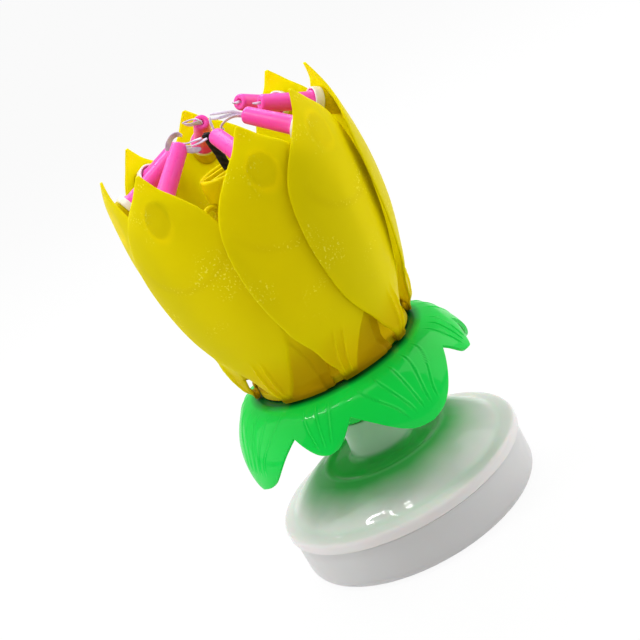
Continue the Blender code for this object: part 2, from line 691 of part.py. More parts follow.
def petal_skin(lean, columns):
    """The petal's blade as a closed shell, outer and inner face joined along the rim."""
    shape = bmesh.new()
    outline = petal_outline()
    outer, inner = [], []
    for left, right, height in outline:
        outer_row, inner_row = [], []
        for column in range(columns + 1):
            across = (left + right) * column / columns - left
            angle = across / petal_radius(height, 0)
            for store, depth in ((outer_row, 0), (inner_row, PETAL_THICKNESS)):
                x, y = polar(petal_radius(height, angle) - depth, angle + lean_at(height, lean))
                store.append(shape.verts.new((x - HINGE_RADIUS, y, height - HINGE_HEIGHT)))
        outer.append(outer_row)
        inner.append(inner_row)
    for row in range(len(outline) - 1):
        for column in range(columns):
            for side in (outer, inner):
                shape.faces.new((side[row][column], side[row][column + 1],
                                 side[row + 1][column + 1], side[row + 1][column]))
        for column in (0, columns):
            shape.faces.new((outer[row][column], outer[row + 1][column],
                             inner[row + 1][column], inner[row][column]))
    for row in (0, len(outline) - 1):
        for column in range(columns):
            shape.faces.new((outer[row][column], outer[row][column + 1],
                             inner[row][column + 1], inner[row][column]))
    return shape


def petal_mesh(palette, lean):
    """A petal with its ribbed strap, its hinge bead and the boss that carries the candle cup."""
    yellow = palette["petal_yellow"]
    petal = finish_mesh("petal", petal_skin(lean, 4), yellow)

    sideways = Matrix.Rotation(math.radians(90), 4, "X")
    low_radius = petal_radius(0.0560, 0) - HINGE_RADIUS
    high_radius = petal_radius(STRAP_TOP, 0) - HINGE_RADIUS
    web = [(-0.0004, -0.0001), (0.0004, -0.0005), (low_radius + STRAP_RISE, 0.0030),
           (low_radius + STRAP_RISE + 0.0006, 0.0060), (high_radius - 0.0002, STRAP_TOP - HINGE_HEIGHT),
           (low_radius - 0.0003, 0.0050)]
    strap = bmesh.new()
    add_prism(strap, web, -STRAP_HALF_WIDTH, STRAP_HALF_WIDTH, sideways)
    apply_boolean(petal, helper_from(strap, yellow), "UNION")
    bead = bmesh.new()
    half = HINGE_BEAD_LENGTH / 2
    add_revolve(bead, cylinder_profile(HINGE_BEAD_RADIUS, -half, half), 8, sideways)
    apply_boolean(petal, helper_from(bead, yellow), "UNION")
    boss = bmesh.new()
    frame = candle_frame(lean)
    outline = ring_outline(CANDLE_CUP_RADIUS - 0.0001, CANDLE_SIDES)
    skin = [depth_to_petal(frame, lean, x, y) for x, y in outline]
    add_prism(boss, outline, skin, CANDLE_BOSS_REACH, frame)
    return apply_boolean(petal, helper_from(boss, yellow), "UNION")


def candle_cup_profile():
    radius = CANDLE_CUP_RADIUS
    bore = radius - CANDLE_CUP_WALL
    start = CANDLE_BOSS_REACH + GAP
    return [(0, start), (radius, start), (radius, CANDLE_CUP_REACH - 0.0003),
            (radius - 0.0002, CANDLE_CUP_REACH), (bore, CANDLE_CUP_REACH), (bore, start + 0.0012),
            (0, start + 0.0012)]


def candle_profile():
    start = CANDLE_BOSS_REACH + 0.0018
    rim = CANDLE_CUP_REACH
    tip = CANDLE_TIP_REACH
    return [(0, start), (CANDLE_FOOT_RADIUS, start), (CANDLE_FOOT_RADIUS, rim - 0.0002),
            (CANDLE_RADIUS, rim + 0.0010), (CANDLE_RADIUS, tip - 0.0006), (CANDLE_RADIUS - 0.0005, tip),
            (0.0012, tip), (0.0012, tip - 0.0020), (0, tip - 0.0020)]


def wick_mesh(name, bend, lean, palette):
    """A flat fuse strand that leaves the candle straight and then bends away."""
    sideways, upward, length = bend
    shape = bmesh.new()
    width, thick = 0.0015, 0.0005
    straight = 0.0024
    frame = candle_frame(lean)
    steps = 5
    place = Vector((0, 0, CANDLE_TIP_REACH - 0.0017))
    rings = []
    for i in range(steps + 1):
        share = min(1.0, max(0.0, (i - 1) / (steps - 2)))
        heading = Vector((-sideways * share, upward * share, 1.0 - 0.6 * share)).normalized()
        across = heading.cross(Vector((0, 1, 0))).normalized()
        flat = across.cross(heading).normalized()
        rings.append([shape.verts.new(frame @ (place + across * a * width / 2 + flat * b * thick / 2))
                      for a, b in ((-1, -1), (1, -1), (1, 1), (-1, 1))])
        place = place + heading * (straight if i == 0 else length / steps)
    for a, b in zip(rings, rings[1:]):
        for j in range(4):
            shape.faces.new((a[j], a[(j + 1) % 4], b[(j + 1) % 4], b[j]))
    shape.faces.new(rings[0])
    shape.faces.new(rings[-1])
    return finish_mesh(name, shape, palette["wick_lavender"])


# Bend of each wick in its own candle's frame: sideways, upward, length
WICK_BENDS = [(0.5, -0.5, 0.0050), (0.8, -0.4, 0.0060), (-0.6, -0.4, 0.0060), (0.4, -0.5, 0.0050),
              (-0.9, -0.3, 0.0060), (0.5, -0.2, 0.0050), (-0.5, -0.4, 0.0060), (0.8, -0.5, 0.0070)]


def build_petals(palette):
    """Petals in two kinds by turns, leaning and upright, each with its cup, candle and wick."""
    kinds = []
    for lean in PETAL_LEANS:
        frame = candle_frame(lean)
        kinds.append({
            "petal": petal_mesh(palette, lean),
            "candle_cup": revolved("cup", candle_cup_profile(), CANDLE_SIDES, palette["cup_white"],
                                   frame),
            "candle": revolved("candle", candle_profile(), CANDLE_SIDES, palette["candle_pink"], frame),
        })
    for index, angle in enumerate(petal_angles(), start=1):
        pivot = bpy.data.objects.new(f"petal_pivot_{index}", None)
        pivot.location = (*polar(HINGE_RADIUS, angle), HINGE_HEIGHT)
        pivot.rotation_euler = (0, 0, angle)
        bpy.context.collection.objects.link(pivot)
        kind = (index - 1) % len(kinds)
        for name, source in kinds[kind].items():
            copy = bpy.data.objects.new(f"{name}_{index}", source.data)
            copy.parent = pivot
            bpy.context.collection.objects.link(copy)
        wick = wick_mesh(f"wick_{index}", WICK_BENDS[index - 1], PETAL_LEANS[kind], palette)
        wick.parent = pivot
    for kind in kinds:
        for source in kind.values():
            bpy.data.objects.remove(source, do_unlink=True)


def main():
    clear_scene()
    palette = make_palette()
    build_base_cup(palette)
    build_base_lid(palette)
    build_screws(palette)
    build_drive(palette)
    build_battery(palette)
    build_electronics(palette)
    build_spindle(palette)
    build_calyx(palette)
    build_petal_hub(palette)
    build_fountain(palette)
    build_petals(palette)


main()
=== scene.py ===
# Musical birthday candle: a closed lotus of eight petals with a candle in each, on a base that plays a tune.
# Lengths are in millimetres here and turned into metres when a mesh is made.
import math
import bpy
import bmesh
from mathutils import Matrix, Vector, noise


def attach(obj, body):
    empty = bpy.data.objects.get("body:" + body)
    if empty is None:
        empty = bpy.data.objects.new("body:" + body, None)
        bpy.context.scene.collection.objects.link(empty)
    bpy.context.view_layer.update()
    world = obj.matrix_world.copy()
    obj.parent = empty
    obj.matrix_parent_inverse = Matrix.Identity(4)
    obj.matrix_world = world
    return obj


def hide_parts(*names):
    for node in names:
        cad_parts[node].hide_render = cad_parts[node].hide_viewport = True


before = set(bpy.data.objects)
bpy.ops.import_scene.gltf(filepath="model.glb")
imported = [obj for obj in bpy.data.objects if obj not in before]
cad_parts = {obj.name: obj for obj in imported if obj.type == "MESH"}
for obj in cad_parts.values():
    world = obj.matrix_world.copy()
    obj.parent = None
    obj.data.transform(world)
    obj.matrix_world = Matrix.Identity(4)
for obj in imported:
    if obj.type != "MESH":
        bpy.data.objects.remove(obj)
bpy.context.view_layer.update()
mm = 0.001
print("frame loaded:", len(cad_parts), "nodes")


# mesh tools

def colour(code, alpha=1.0):
    # hex code as it looks on screen, turned into linear light
    parts = [int(code[i:i + 2], 16) / 255 for i in (0, 2, 4)]
    return tuple(p / 12.92 if p <= 0.04045 else ((p + 0.055) / 1.055) ** 2.4 for p in parts) + (alpha,)


def smoothShare(x, low, high):
    t = min(1.0, max(0.0, (x - low) / (high - low)))
    return t * t * (3 - 2 * t)


def readLine(x, points):
    # height of a line through (x, y) points, rounded off between them
    if x <= points[0][0]:
        return points[0][1]
    for i in range(len(points) - 1):
        (x0, y0), (x1, y1) = points[i], points[i + 1]
        if x <= x1:
            before = points[max(i - 1, 0)]
            after = points[min(i + 2, len(points) - 1)]
            slopeIn = (y1 - before[1]) / (x1 - before[0])
            slopeOut = (after[1] - y0) / (after[0] - x0)
            t, span = (x - x0) / (x1 - x0), x1 - x0
            return ((2 * t ** 3 - 3 * t ** 2 + 1) * y0 + (t ** 3 - 2 * t ** 2 + t) * span * slopeIn
                    + (3 * t ** 2 - 2 * t ** 3) * y1 + (t ** 3 - t ** 2) * span * slopeOut)
    return points[-1][1]


def smoothLine(points, perSpan):
    ends = [points[0]] + list(points) + [points[-1]]
    line = []
    for i in range(1, len(ends) - 2):
        p0, p1, p2, p3 = (Vector(ends[i + k]) for k in (-1, 0, 1, 2))
        for step in range(perSpan):
            t = step / perSpan
            line.append(0.5 * (2 * p1 + (p2 - p0) * t + (2 * p0 - 5 * p1 + 4 * p2 - p3) * t * t
                               + (3 * p1 - p0 - 3 * p2 + p3) * t ** 3))
    return line + [Vector(points[-1])]


def softCorners(profile, size, steps=3):
    # rounds every inner corner of an open outline; a third number in a point is its own radius
    out = [Vector(profile[0][:2])]
    for before, here, after in zip(profile, profile[1:], profile[2:]):
        corner = Vector(here[:2])
        back, ahead = Vector(before[:2]) - corner, Vector(after[:2]) - corner
        cut = min(here[2] if len(here) > 2 else size, back.length * 0.49, ahead.length * 0.49)
        if cut < 0.01:
            out.append(corner)
            continue
        start, end = corner + back.normalized() * cut, corner + ahead.normalized() * cut
        for i in range(steps + 1):
            t = i / steps
            out.append(start * (1 - t) ** 2 + corner * 2 * t * (1 - t) + end * t * t)
    return out + [Vector(profile[-1][:2])]


def addTurned(shape, profile, steps, place=None):
    # spins an outline of (radius, height) round Z; points on the axis become poles
    rings = []
    for radius, height in profile:
        if radius < 1e-6:
            rings.append([shape.verts.new((0, 0, height))])
        else:
            rings.append([shape.verts.new((radius * math.cos(2 * math.pi * i / steps),
                                           radius * math.sin(2 * math.pi * i / steps), height))
                          for i in range(steps)])
    for low, high in zip(rings, rings[1:]):
        for i in range(steps):
            a, b = low[i % len(low)], low[(i + 1) % steps % len(low)]
            c, d = high[(i + 1) % steps % len(high)], high[i % len(high)]
            corners = [v for n, v in enumerate((a, b, c, d)) if v not in (a, b, c, d)[:n]]
            if len(corners) > 2:
                shape.faces.new(corners)
    if place is not None:
        bmesh.ops.transform(shape, matrix=place, verts=[v for ring in rings for v in ring])
    return rings


def closeTurned(shape, profile, steps, place=None):
    # the same for an outline that runs round a hollow and meets itself again
    addTurned(shape, list(profile) + [profile[0]], steps, place)


def addLoft(shape, rings, capped=True):
    # joins rings of the same number of points into a skin
    rows = [[shape.verts.new(p) for p in ring] for ring in rings]
    count = len(rows[0])
    for low, high in zip(rows, rows[1:]):
        for i in range(count):
            shape.faces.new((low[i], low[(i + 1) % count], high[(i + 1) % count], high[i]))
    if capped:
        shape.faces.new(rows[0][::-1])
        shape.faces.new(rows[-1])
    return rows


def finishPiece(name, shape, material, body, nodes=(), place=None, sharp=38, metres=mm):
    # turns a bmesh in millimetres into an object that rides on its body
    bmesh.ops.remove_doubles(shape, verts=shape.verts, dist=0.001)
    bmesh.ops.recalc_face_normals(shape, faces=shape.faces)
    bmesh.ops.scale(shape, vec=(metres, metres, metres), verts=shape.verts)
    mesh = bpy.data.meshes.new(name)
    shape.to_mesh(mesh)
    shape.free()
    mesh.shade_smooth()
    mesh.set_sharp_from_angle(angle=math.radians(sharp))
    piece = bpy.data.objects.new(name, mesh)
    bpy.context.collection.objects.link(piece)
    mesh.materials.append(material)
    if place is not None:
        move, turn, _ = place.decompose()
        piece.matrix_world = Matrix.Translation(move * metres) @ turn.to_matrix().to_4x4()
    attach(piece, body)
    if nodes:
        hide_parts(*nodes)
    return piece


def turnZ(degrees):
    return Matrix.Rotation(math.radians(degrees), 4, "Z")


# material tools

def startMaterial(name, **sockets):
    material = bpy.data.materials.new(name)
    material.use_nodes = True
    tree = material.node_tree
    shader = tree.nodes["Principled BSDF"]
    for key, value in sockets.items():
        shader.inputs[key.replace("_", " ")].default_value = value
    return material, tree, shader


def node(tree, kind, sockets=None, **settings):
    made = tree.nodes.new("ShaderNode" + kind)
    for key, value in settings.items():
        setattr(made, key, value)
    for key, value in (sockets or {}).items():
        if isinstance(value, bpy.types.NodeSocket):
            tree.links.new(value, made.inputs[key])
        else:
            made.inputs[key].default_value = value
    return made


def doMath(tree, operation, a, b=0.0, clamp=False):
    return node(tree, "Math", {0: a, 1: b}, operation=operation, use_clamp=clamp).outputs[0]


def ramp(tree, factor, stops):
    made = node(tree, "ValToRGB", {"Fac": factor})
    elements = made.color_ramp.elements
    while len(elements) < len(stops):
        elements.new(0.5)
    for element, (position, shade) in zip(elements, stops):
        element.position = position
        element.color = shade if len(shade) == 4 else (*shade, 1)
    return made.outputs["Color"]


def grey(value):
    return (value, value, value, 1)


def mixColour(tree, factor, a, b, blend="MIX"):
    made = node(tree, "Mix", data_type="RGBA", blend_type=blend)
    for key, value in ((0, factor), (6, a), (7, b)):
        if isinstance(value, bpy.types.NodeSocket):
            tree.links.new(value, made.inputs[key])
        else:
            made.inputs[key].default_value = value
    return made.outputs[2]


def objectPlace(tree):
    return node(tree, "TexCoord").outputs["Object"]


def noiseOf(tree, place, scale, detail=3.0, rough=0.5):
    return node(tree, "TexNoise", {"Vector": place, "Scale": scale, "Detail": detail,
                                   "Roughness": rough}).outputs["Fac"]


def spread(tree, value, low, high, a=0.0, b=1.0):
    # maps low..high softly onto a..b
    return node(tree, "MapRange", {"Value": value, "From Min": low, "From Max": high, "To Min": a,
                                   "To Max": b}, interpolation_type="SMOOTHSTEP").outputs[0]


def bumpInto(tree, shader, height, distance, strength=1.0, normal=None):
    sockets = {"Height": height, "Distance": distance, "Strength": strength}
    if normal is not None:
        sockets["Normal"] = normal
    made = node(tree, "Bump", sockets)
    tree.links.new(made.outputs[0], shader.inputs["Normal"])
    return made.outputs[0]


# base: light grey cup below, milky domed lid above

baseCup = {"radius": 32.6, "height": 12.0, "corner": 3.0, "wall": 1.6, "steps": 160,
           "screwCircle": 27.4, "screwAngles": (40, 160, 280), "soundHoles": (2.0, 19.0)}
baseLid = {"neckTop": 33.2, "neckTopRadius": 7.4, "neckFootRadius": 8.7, "beadRadius": 16.7, "beadHeight": 22.4,
           "beadSize": 0.42, "domeEdge": 31.0, "shoulder": 15.75, "rimRadius": 33.4, "rimTop": 15.0, "rimBottom": 12.3, "domeFall": 1.7, "steps": 160}


def cupPlastic():
    material, tree, shader = startMaterial("base cup plastic", Roughness=0.34, Specular_IOR_Level=0.4,
                                           Subsurface_Weight=0.1, Subsurface_Scale=0.002)
    place = objectPlace(tree)
    cloud = noiseOf(tree, place, 38)
    tree.links.new(mixColour(tree, cloud, colour("c8c6c5"), colour("d4d3d4")), shader.inputs["Base Color"])
    tree.links.new(spread(tree, noiseOf(tree, place, 240), 0.3, 0.7, 0.28, 0.42), shader.inputs["Roughness"])
    bumpInto(tree, shader, noiseOf(tree, place, 900, 2), 0.00002, 0.5)
    return material


def lidPlastic():
    # milky plastic; the green light of the flower collar right above it is painted into its colour as a painted
    # reflection, strongest near the neck
    material, tree, shader = startMaterial("lid plastic", Roughness=0.38, Specular_IOR_Level=0.15,
                                           Subsurface_Weight=0.2, Subsurface_Scale=0.003, Coat_Weight=0.4,
                                           Coat_Roughness=0.05)
    place = objectPlace(tree)
    axes = node(tree, "SeparateXYZ", {0: place})
    x, y, z = axes.outputs
    radius = doMath(tree, "SQRT", doMath(tree, "ADD", doMath(tree, "MULTIPLY", x, x), doMath(tree, "MULTIPLY", y, y)))
    cloud = noiseOf(tree, place, 70, 2)
    # painted reflection: the collar's green fades outwards, unevenly, and stops at the rim
    left = doMath(tree, "SUBTRACT", doMath(tree, "MULTIPLY", x, 0.02), doMath(tree, "MULTIPLY", y, 0.09))
    reach = doMath(tree, "ADD", radius, doMath(tree, "SUBTRACT", left, doMath(tree, "MULTIPLY", cloud, 0.006)))
    paintedCollarGreen = ramp(tree, spread(tree, reach, 0.004, 0.028), [(0.0, grey(0.9)), (0.2, grey(1.0)), (0.55, grey(0.9)),
                                                          (0.78, grey(0.45)), (1.0, grey(0.05))])
    milk = mixColour(tree, noiseOf(tree, place, 55), colour("dad5d4"), colour("e2e0df"))
    green = mixColour(tree, cloud, colour("1da740"), colour("3fb45a"))
    aboveRim = spread(tree, z, 0.0152, 0.0172)
    body = mixColour(tree, doMath(tree, "MULTIPLY", paintedCollarGreen, aboveRim), milk, green)
    # painted highlight: a pale green line along the dome's edge
    edge = doMath(tree, "ABSOLUTE", doMath(tree, "SUBTRACT", radius, 0.0294))   # pale green line at the dome's edge
    body = mixColour(tree, spread(tree, edge, 0.0002, 0.0012, 0.22, 0.0), body, colour("bfe3c6"))
    # painted highlight: a paler line along the raised ring
    ring = doMath(tree, "ABSOLUTE", doMath(tree, "SUBTRACT", radius, 0.0167))
    body = mixColour(tree, spread(tree, ring, 0.0002, 0.0010, 0.35, 0.0), body, colour("9fd0a8"))
    # painted reflection: the neck painted a pale grey-green from the same collar light
    body = mixColour(tree, spread(tree, z, 0.0234, 0.0250, 0.0, 0.85), body, colour("b4cdb8"))   # neck
    tree.links.new(body, shader.inputs["Base Color"])
    tree.links.new(spread(tree, noiseOf(tree, place, 180), 0.3, 0.7, 0.32, 0.44), shader.inputs["Roughness"])
    bumpInto(tree, shader, noiseOf(tree, place, 130, 2), 0.00006, 0.35)
    return material


def makeBaseCup(material):
    d = baseCup
    arc = [(d["radius"] - d["corner"] + d["corner"] * math.sin(a), d["corner"] - d["corner"] * math.cos(a))
           for a in (math.radians(9 * i) for i in range(11))]
    profile = [(0, 0)] + arc + [(d["radius"], d["height"] - 0.15), (d["radius"] - 0.15, d["height"]),
                                (d["radius"] - d["wall"], d["height"]), (d["radius"] - d["wall"], 3.0),
                                (d["radius"] - 3.0, d["wall"]), (0, d["wall"])]
    shape = bmesh.new()
    addTurned(shape, profile, d["steps"])
    piece = finishPiece("base_cup_shell", shape, material, "base", ["base_cup"])

    cuts = bmesh.new()
    wells = [(math.radians(a)) for a in d["screwAngles"]]
    for a in wells:
        spot = Matrix.Translation((d["screwCircle"] * math.cos(a), d["screwCircle"] * math.sin(a), 0))
        addTurned(cuts, [(0, -1), (3.05, -1), (2.9, 0.15), (2.9, 1.55), (0, 1.55)], 40, spot)
    x, y = d["soundHoles"]
    for i in range(7):
        a = math.pi / 3 * i
        dx, dy = (0, 0) if i == 6 else (4.5 * math.cos(a), 4.5 * math.sin(a))
        addTurned(cuts, [(0, -1), (1.3, -1), (1.1, 0.2), (1.1, 2.4), (0, 2.4)], 24,
                  Matrix.Translation((x + dx, y + dy, 0)))
    cutPiece(piece, cuts)

    posts = bmesh.new()   # what stands on the floor inside
    for a in wells:
        spot = Matrix.Translation((d["screwCircle"] * math.cos(a), d["screwCircle"] * math.sin(a), 0))
        closeTurned(posts, softCorners([(1.6, 1.58), (3.8, 1.58), (3.8, 8.0), (1.6, 8.0)], 0.2), 32, spot)
    closeTurned(posts, [(4.0, 1.58), (6.2, 1.58), (6.2, 6.0), (4.0, 6.0)], 48)
    inside = finishPiece("base_cup_posts", posts, material, "base")
    return piece, inside


def cutPiece(piece, cuts):
    bmesh.ops.recalc_face_normals(cuts, faces=cuts.faces)
    bmesh.ops.scale(cuts, vec=(mm, mm, mm), verts=cuts.verts)
    mesh = bpy.data.meshes.new("cuts")
    cuts.to_mesh(mesh)
    cuts.free()
    tool = bpy.data.objects.new("cuts", mesh)
    bpy.context.collection.objects.link(tool)
    boolean = piece.modifiers.new("cuts", "BOOLEAN")
    boolean.operation, boolean.object = "DIFFERENCE", tool
    bpy.context.view_layer.update()
    result = bpy.data.meshes.new_from_object(piece.evaluated_get(bpy.context.evaluated_depsgraph_get()))
    piece.modifiers.clear()
    piece.data = result
    result.shade_smooth()
    result.set_sharp_from_angle(angle=math.radians(38))
    bpy.data.objects.remove(tool)


def domePoints(start, end, fall, count):
    (r0, z0), (r1, z1) = start, end
    return [(r0 + (r1 - r0) * i / (count - 1), z0 - (z0 - z1) * (i / (count - 1)) ** fall) for i in range(count)]


def makeBaseLid(material):
    d = baseLid
    lip = baseCup["radius"] - baseCup["wall"] - 0.4
    bead, foot = d["beadRadius"], d["neckFootRadius"]

    def lidHeight(r):
        # gently sloping flat inside the raised ring, the ring itself and the dome outside it
        fall = max(0.0, (r - bead) / (d["domeEdge"] - bead))
        flat = d["beadHeight"] + 0.35 * max(0.0, (bead - r) / (bead - foot))
        height = flat - (d["beadHeight"] - d["rimTop"] + 0.6) * fall ** d["domeFall"]
        shoulder = d["shoulder"] - 0.17 * (r - 29.0)
        height = 0.28 * math.log(math.exp(height / 0.28) + math.exp(shoulder / 0.28))
        return height + d["beadSize"] * math.exp(-((r - bead) / 1.35) ** 2)

    outside = [(d["neckTopRadius"], d["neckTop"], 0.35), (foot, d["beadHeight"] + 1.2, 1.0),
               (foot + 1.1, lidHeight(foot + 1.1), 1.2)]
    steps = 56
    outside += [(r, lidHeight(r), 0.02) for r in (foot + 2.2 + (d["domeEdge"] - foot - 2.2) * i / steps
                                                  for i in range(steps + 1))]
    outside += [(d["rimRadius"], d["rimTop"] + 0.05, 1.5), (d["rimRadius"], d["rimBottom"] + 0.1, 0.25),
                (d["rimRadius"] - 0.3, d["rimBottom"], 0.1)]
    inside = [(lip, d["rimBottom"]), (lip, 9.4), (lip - 1.2, 9.4), (lip - 1.2, 13.0)]
    inside += domePoints((bead + 1.4, d["beadHeight"] - 2.0), (lip - 1.2, 13.0), d["domeFall"], 12)[::-1][1:]
    inside += [(9.0, 21.6), (3.85, 21.6), (3.85, d["neckTop"])]
    outline = softCorners([(5.0, d["neckTop"])] + outside + inside, 0.15, 5)
    shape = bmesh.new()
    closeTurned(shape, outline, d["steps"])
    return finishPiece("base_lid_shell", shape, material, "base", ["base_lid"], sharp=60)


# flower collar: a green trumpet whose rim hangs down in four broad and four narrow leaves

collar = {"broad": 30.0, "narrow": 15.0, "tips": (34.5, 39.2, 32.7, 39.2, 32.7, 39.2, 32.7, 39.2), "notch": 44.9,
          "thickness": 0.9,
          "line": [(21.4, 50.2), (22.0, 50.2), (22.7, 49.9), (25.0, 49.4), (28.1, 47.7), (31.3, 43.2), (33.5, 37.8),
                   (34.3, 32.5), (33.8, 29.0)],
          "veinHeight": 0.18, "veinWidth": 0.42}


def leafPlastic():
    material, tree, shader = startMaterial("leaf plastic", Roughness=0.4, Specular_IOR_Level=0.04,
                                           Subsurface_Weight=0.1, Subsurface_Scale=0.002, Coat_Weight=0.35,
                                           Coat_Roughness=0.04)
    shader.inputs["Subsurface Radius"].default_value = (0.05, 1.0, 0.2)
    place = objectPlace(tree)
    axes = node(tree, "SeparateXYZ", {0: place})
    cloud = noiseOf(tree, place, 60)
    body = mixColour(tree, cloud, colour("00c63a"), colour("02d649"))
    # painted light: lighter green towards the leaves' lower ends
    low = spread(tree, axes.outputs[2], 0.030, 0.050, 1.0, 0.0)
    body = mixColour(tree, doMath(tree, "MULTIPLY", low, 0.35), body, colour("00e65a"))
    # painted shadow: the collar's top rim darkened where the petals stand over it
    rim = spread(tree, axes.outputs[2], 0.0495, 0.0501, 0.0, 0.9)   # dark where the petals stand on it
    body = mixColour(tree, rim, body, colour("00401a"))
    tree.links.new(body, shader.inputs["Base Color"])
    tree.links.new(spread(tree, noiseOf(tree, place, 320), 0.3, 0.7, 0.34, 0.46), shader.inputs["Roughness"])
    bumpInto(tree, shader, noiseOf(tree, place, 160, 3), 0.00008, 0.4)
    return material


def makeCollar(material):
    d = collar
    line = smoothLine(d["line"], 10)
    lengths = [0.0]
    for a, b in zip(line, line[1:]):
        lengths.append(lengths[-1] + (b - a).length)

    def onLine(height=None, distance=None):
        # point and inward direction of the hanging line, by height or by distance from its start
        for i in range(len(line) - 1):
            a, b = line[i], line[i + 1]
            if height is not None and i > 12 and b.y <= height <= a.y:
                t = (a.y - height) / (a.y - b.y)
                break
            if distance is not None and distance <= lengths[i + 1] + 1e-9:
                t = (distance - lengths[i]) / (lengths[i + 1] - lengths[i])
                break
        step = (line[min(i + 2, len(line) - 1)] - line[max(i - 1, 0)]).normalized()
        return a.lerp(b, t), Vector((step.y, -step.x)), lengths[i] + (b - a).length * t

    notchAt = onLine(height=d["notch"])[2]
    shape = bmesh.new()
    for leaf in range(8):
        wide, tip = d["narrow" if leaf % 2 else "broad"], d["tips"][leaf]
        middle = -67.5 + 45 * leaf
        columns = 176 if leaf % 2 == 0 else 96
        tipAt = onLine(height=tip)[2]
        rows = [notchAt * i / 16 for i in range(17)]
        rows += [notchAt + (tipAt - notchAt) * (1 - (1 - i / 26) ** 1.6) for i in range(1, 27)]
        spacing = 0.36 if leaf % 2 == 0 else 0.5
        veins = sorted({side * n * spacing * wide for n in range(3) for side in (-1, 1) if n * spacing < 0.95})
        grid = []
        for distance in rows:
            spot, inward, _ = onLine(distance=distance)
            share = max(0.0, (distance - notchAt) / (tipAt - notchAt))
            part = min(1.0, max(0.0, (spot.y - tip) / (d["notch"] - tip)))
            half = wide * part ** (0.5 + (0.42 if leaf % 2 == 0 else 0.3) * part) * (1 if share < 1 else 0)
            outer, inner = [], []
            for column in range(columns + 1):
                f = 2 * column / columns - 1
                angle = math.radians(middle + f * max(half, 0.2))
                lift = 0.0
                for vein in veins:   # a fine rib with a groove beside it, drawn together towards the tip
                    off = f * half - vein * (1 - 0.62 * smoothShare(distance, 4.0, 18.0))
                    lift += math.exp(-(off / d["veinWidth"]) ** 2)
                    lift -= 0.9 * math.exp(-(off / d["veinWidth"] + 1.9) ** 2)
                lift *= d["veinHeight"] * smoothShare(distance, 4.0, 6.5) * (1 - smoothShare(share, 0.5, 0.72))
                curl = 0.5 * smoothShare(share, 0.2, 1.0) * (abs(f) ** 3)   # the edges turn in a little
                for store, depth in ((outer, -lift + curl), (inner, d["thickness"] + curl)):
                    radius = spot.x + inward.x * depth
                    store.append(Vector((radius * math.cos(angle), radius * math.sin(angle),
                                         spot.y + inward.y * depth)))
            grid.append((outer, inner))
        outerRows = [[shape.verts.new(p) for p in outer] for outer, _ in grid]
        innerRows = [[shape.verts.new(p) for p in inner] for _, inner in grid]
        for i in range(len(rows) - 1):
            for j in range(columns):
                for skin in (outerRows, innerRows):
                    shape.faces.new((skin[i][j], skin[i][j + 1], skin[i + 1][j + 1], skin[i + 1][j]))
            if i >= 16:
                for j in (0, columns):
                    shape.faces.new((outerRows[i][j], outerRows[i + 1][j], innerRows[i + 1][j], innerRows[i][j]))
        for i in (0, len(rows) - 1):
            for j in range(columns):
                shape.faces.new((outerRows[i][j], outerRows[i][j + 1], innerRows[i][j + 1], innerRows[i][j]))
    bmesh.ops.remove_doubles(shape, verts=shape.verts, dist=0.02)
    trumpet = [(3.85, 33.8), (8.2, 33.8, 0.3), (8.2, 36.8, 1.5), (9.8, 40.8, 2.0), (14.0, 45.0, 2.0),
               (19.0, 47.5, 1.0), (22.1, 48.9, 0.2), (22.2, 49.5, 0.2), (21.3, 50.15, 0.2), (20.8, 50.2, 0.2),
               (19.0, 49.0, 1.0), (3.85, 43.0)]
    closeTurned(shape, softCorners(trumpet, 0.3, 5), 128)
    piece = finishPiece("collar_leaves", shape, material, "flower", ["calyx"], sharp=50)
    bevel = piece.modifiers.new("edges", "BEVEL")
    bevel.width, bevel.segments, bevel.limit_method, bevel.angle_limit = 0.00028, 3, "ANGLE", math.radians(60)
    return piece


# petals: each a thin curved shell, tucked under its neighbour on one side

petals = {"first": -87.0,
          "radii": [(50, 22.7), (52, 23.0), (54, 23.5), (56, 23.8), (58, 24.2), (60, 24.75), (63, 25.8), (66, 26.8),
                    (70, 27.9), (75, 29.2), (80, 30.15), (85, 30.8), (90, 31.25), (95, 31.45), (100, 31.3),
                    (105, 30.85), (110, 30.3), (114, 29.6), (118.5, 28.6)],
          "shingle": 2.2, "thickness": 0.9, "leanStart": 54.0, "leanEnd": 73.0,
          "leans": (9.2, -0.5, 2.3, -3.1, 3.2, -2.8, 6.2, -0.2),   # how far each top stands to the right of its foot
          "widenLeft": (1.03, 1.16, 1.18, 1.0, 1.0, 1.0, 1.03, 1.0),
          "halfWidths": [(51.0, 1.7), (52.6, 2.0), (54.5, 3.1), (57.5, 5.0), (60.5, 6.6), (66.7, 10.6), (73.0, 13.4),
                         (82.0, 15.5), (91.0, 16.1), (98.5, 15.2), (105.0, 12.4), (110.0, 8.2), (113.6, 4.2),
                         (116.2, 2.0), (118.0, 0.5)],
          "tuck": [(53.1, 13.5), (54.0, 14.0), (60.5, 15.3), (73.0, 15.6), (82.0, 15.8), (91.0, 16.1), (98.5, 15.2)],
          "bulge": [(51.0, 0.0), (52.2, 0.1), (54.6, 0.7), (57.6, 1.15), (61.0, 0.7), (64.5, 0.0), (118.0, 0.0)],
          "flapFeet": (50.6, 58.5, 50.6, 50.6, 50.6, 50.6, 58.0, 50.6), "slim": (1.1, 0, 0, 0, 0, 0, 0, 0),
          "flapStep": 0.7, "creaseAt": 11.0, "creaseStep": 0.5, "hinge": (22.0, 51.6)}


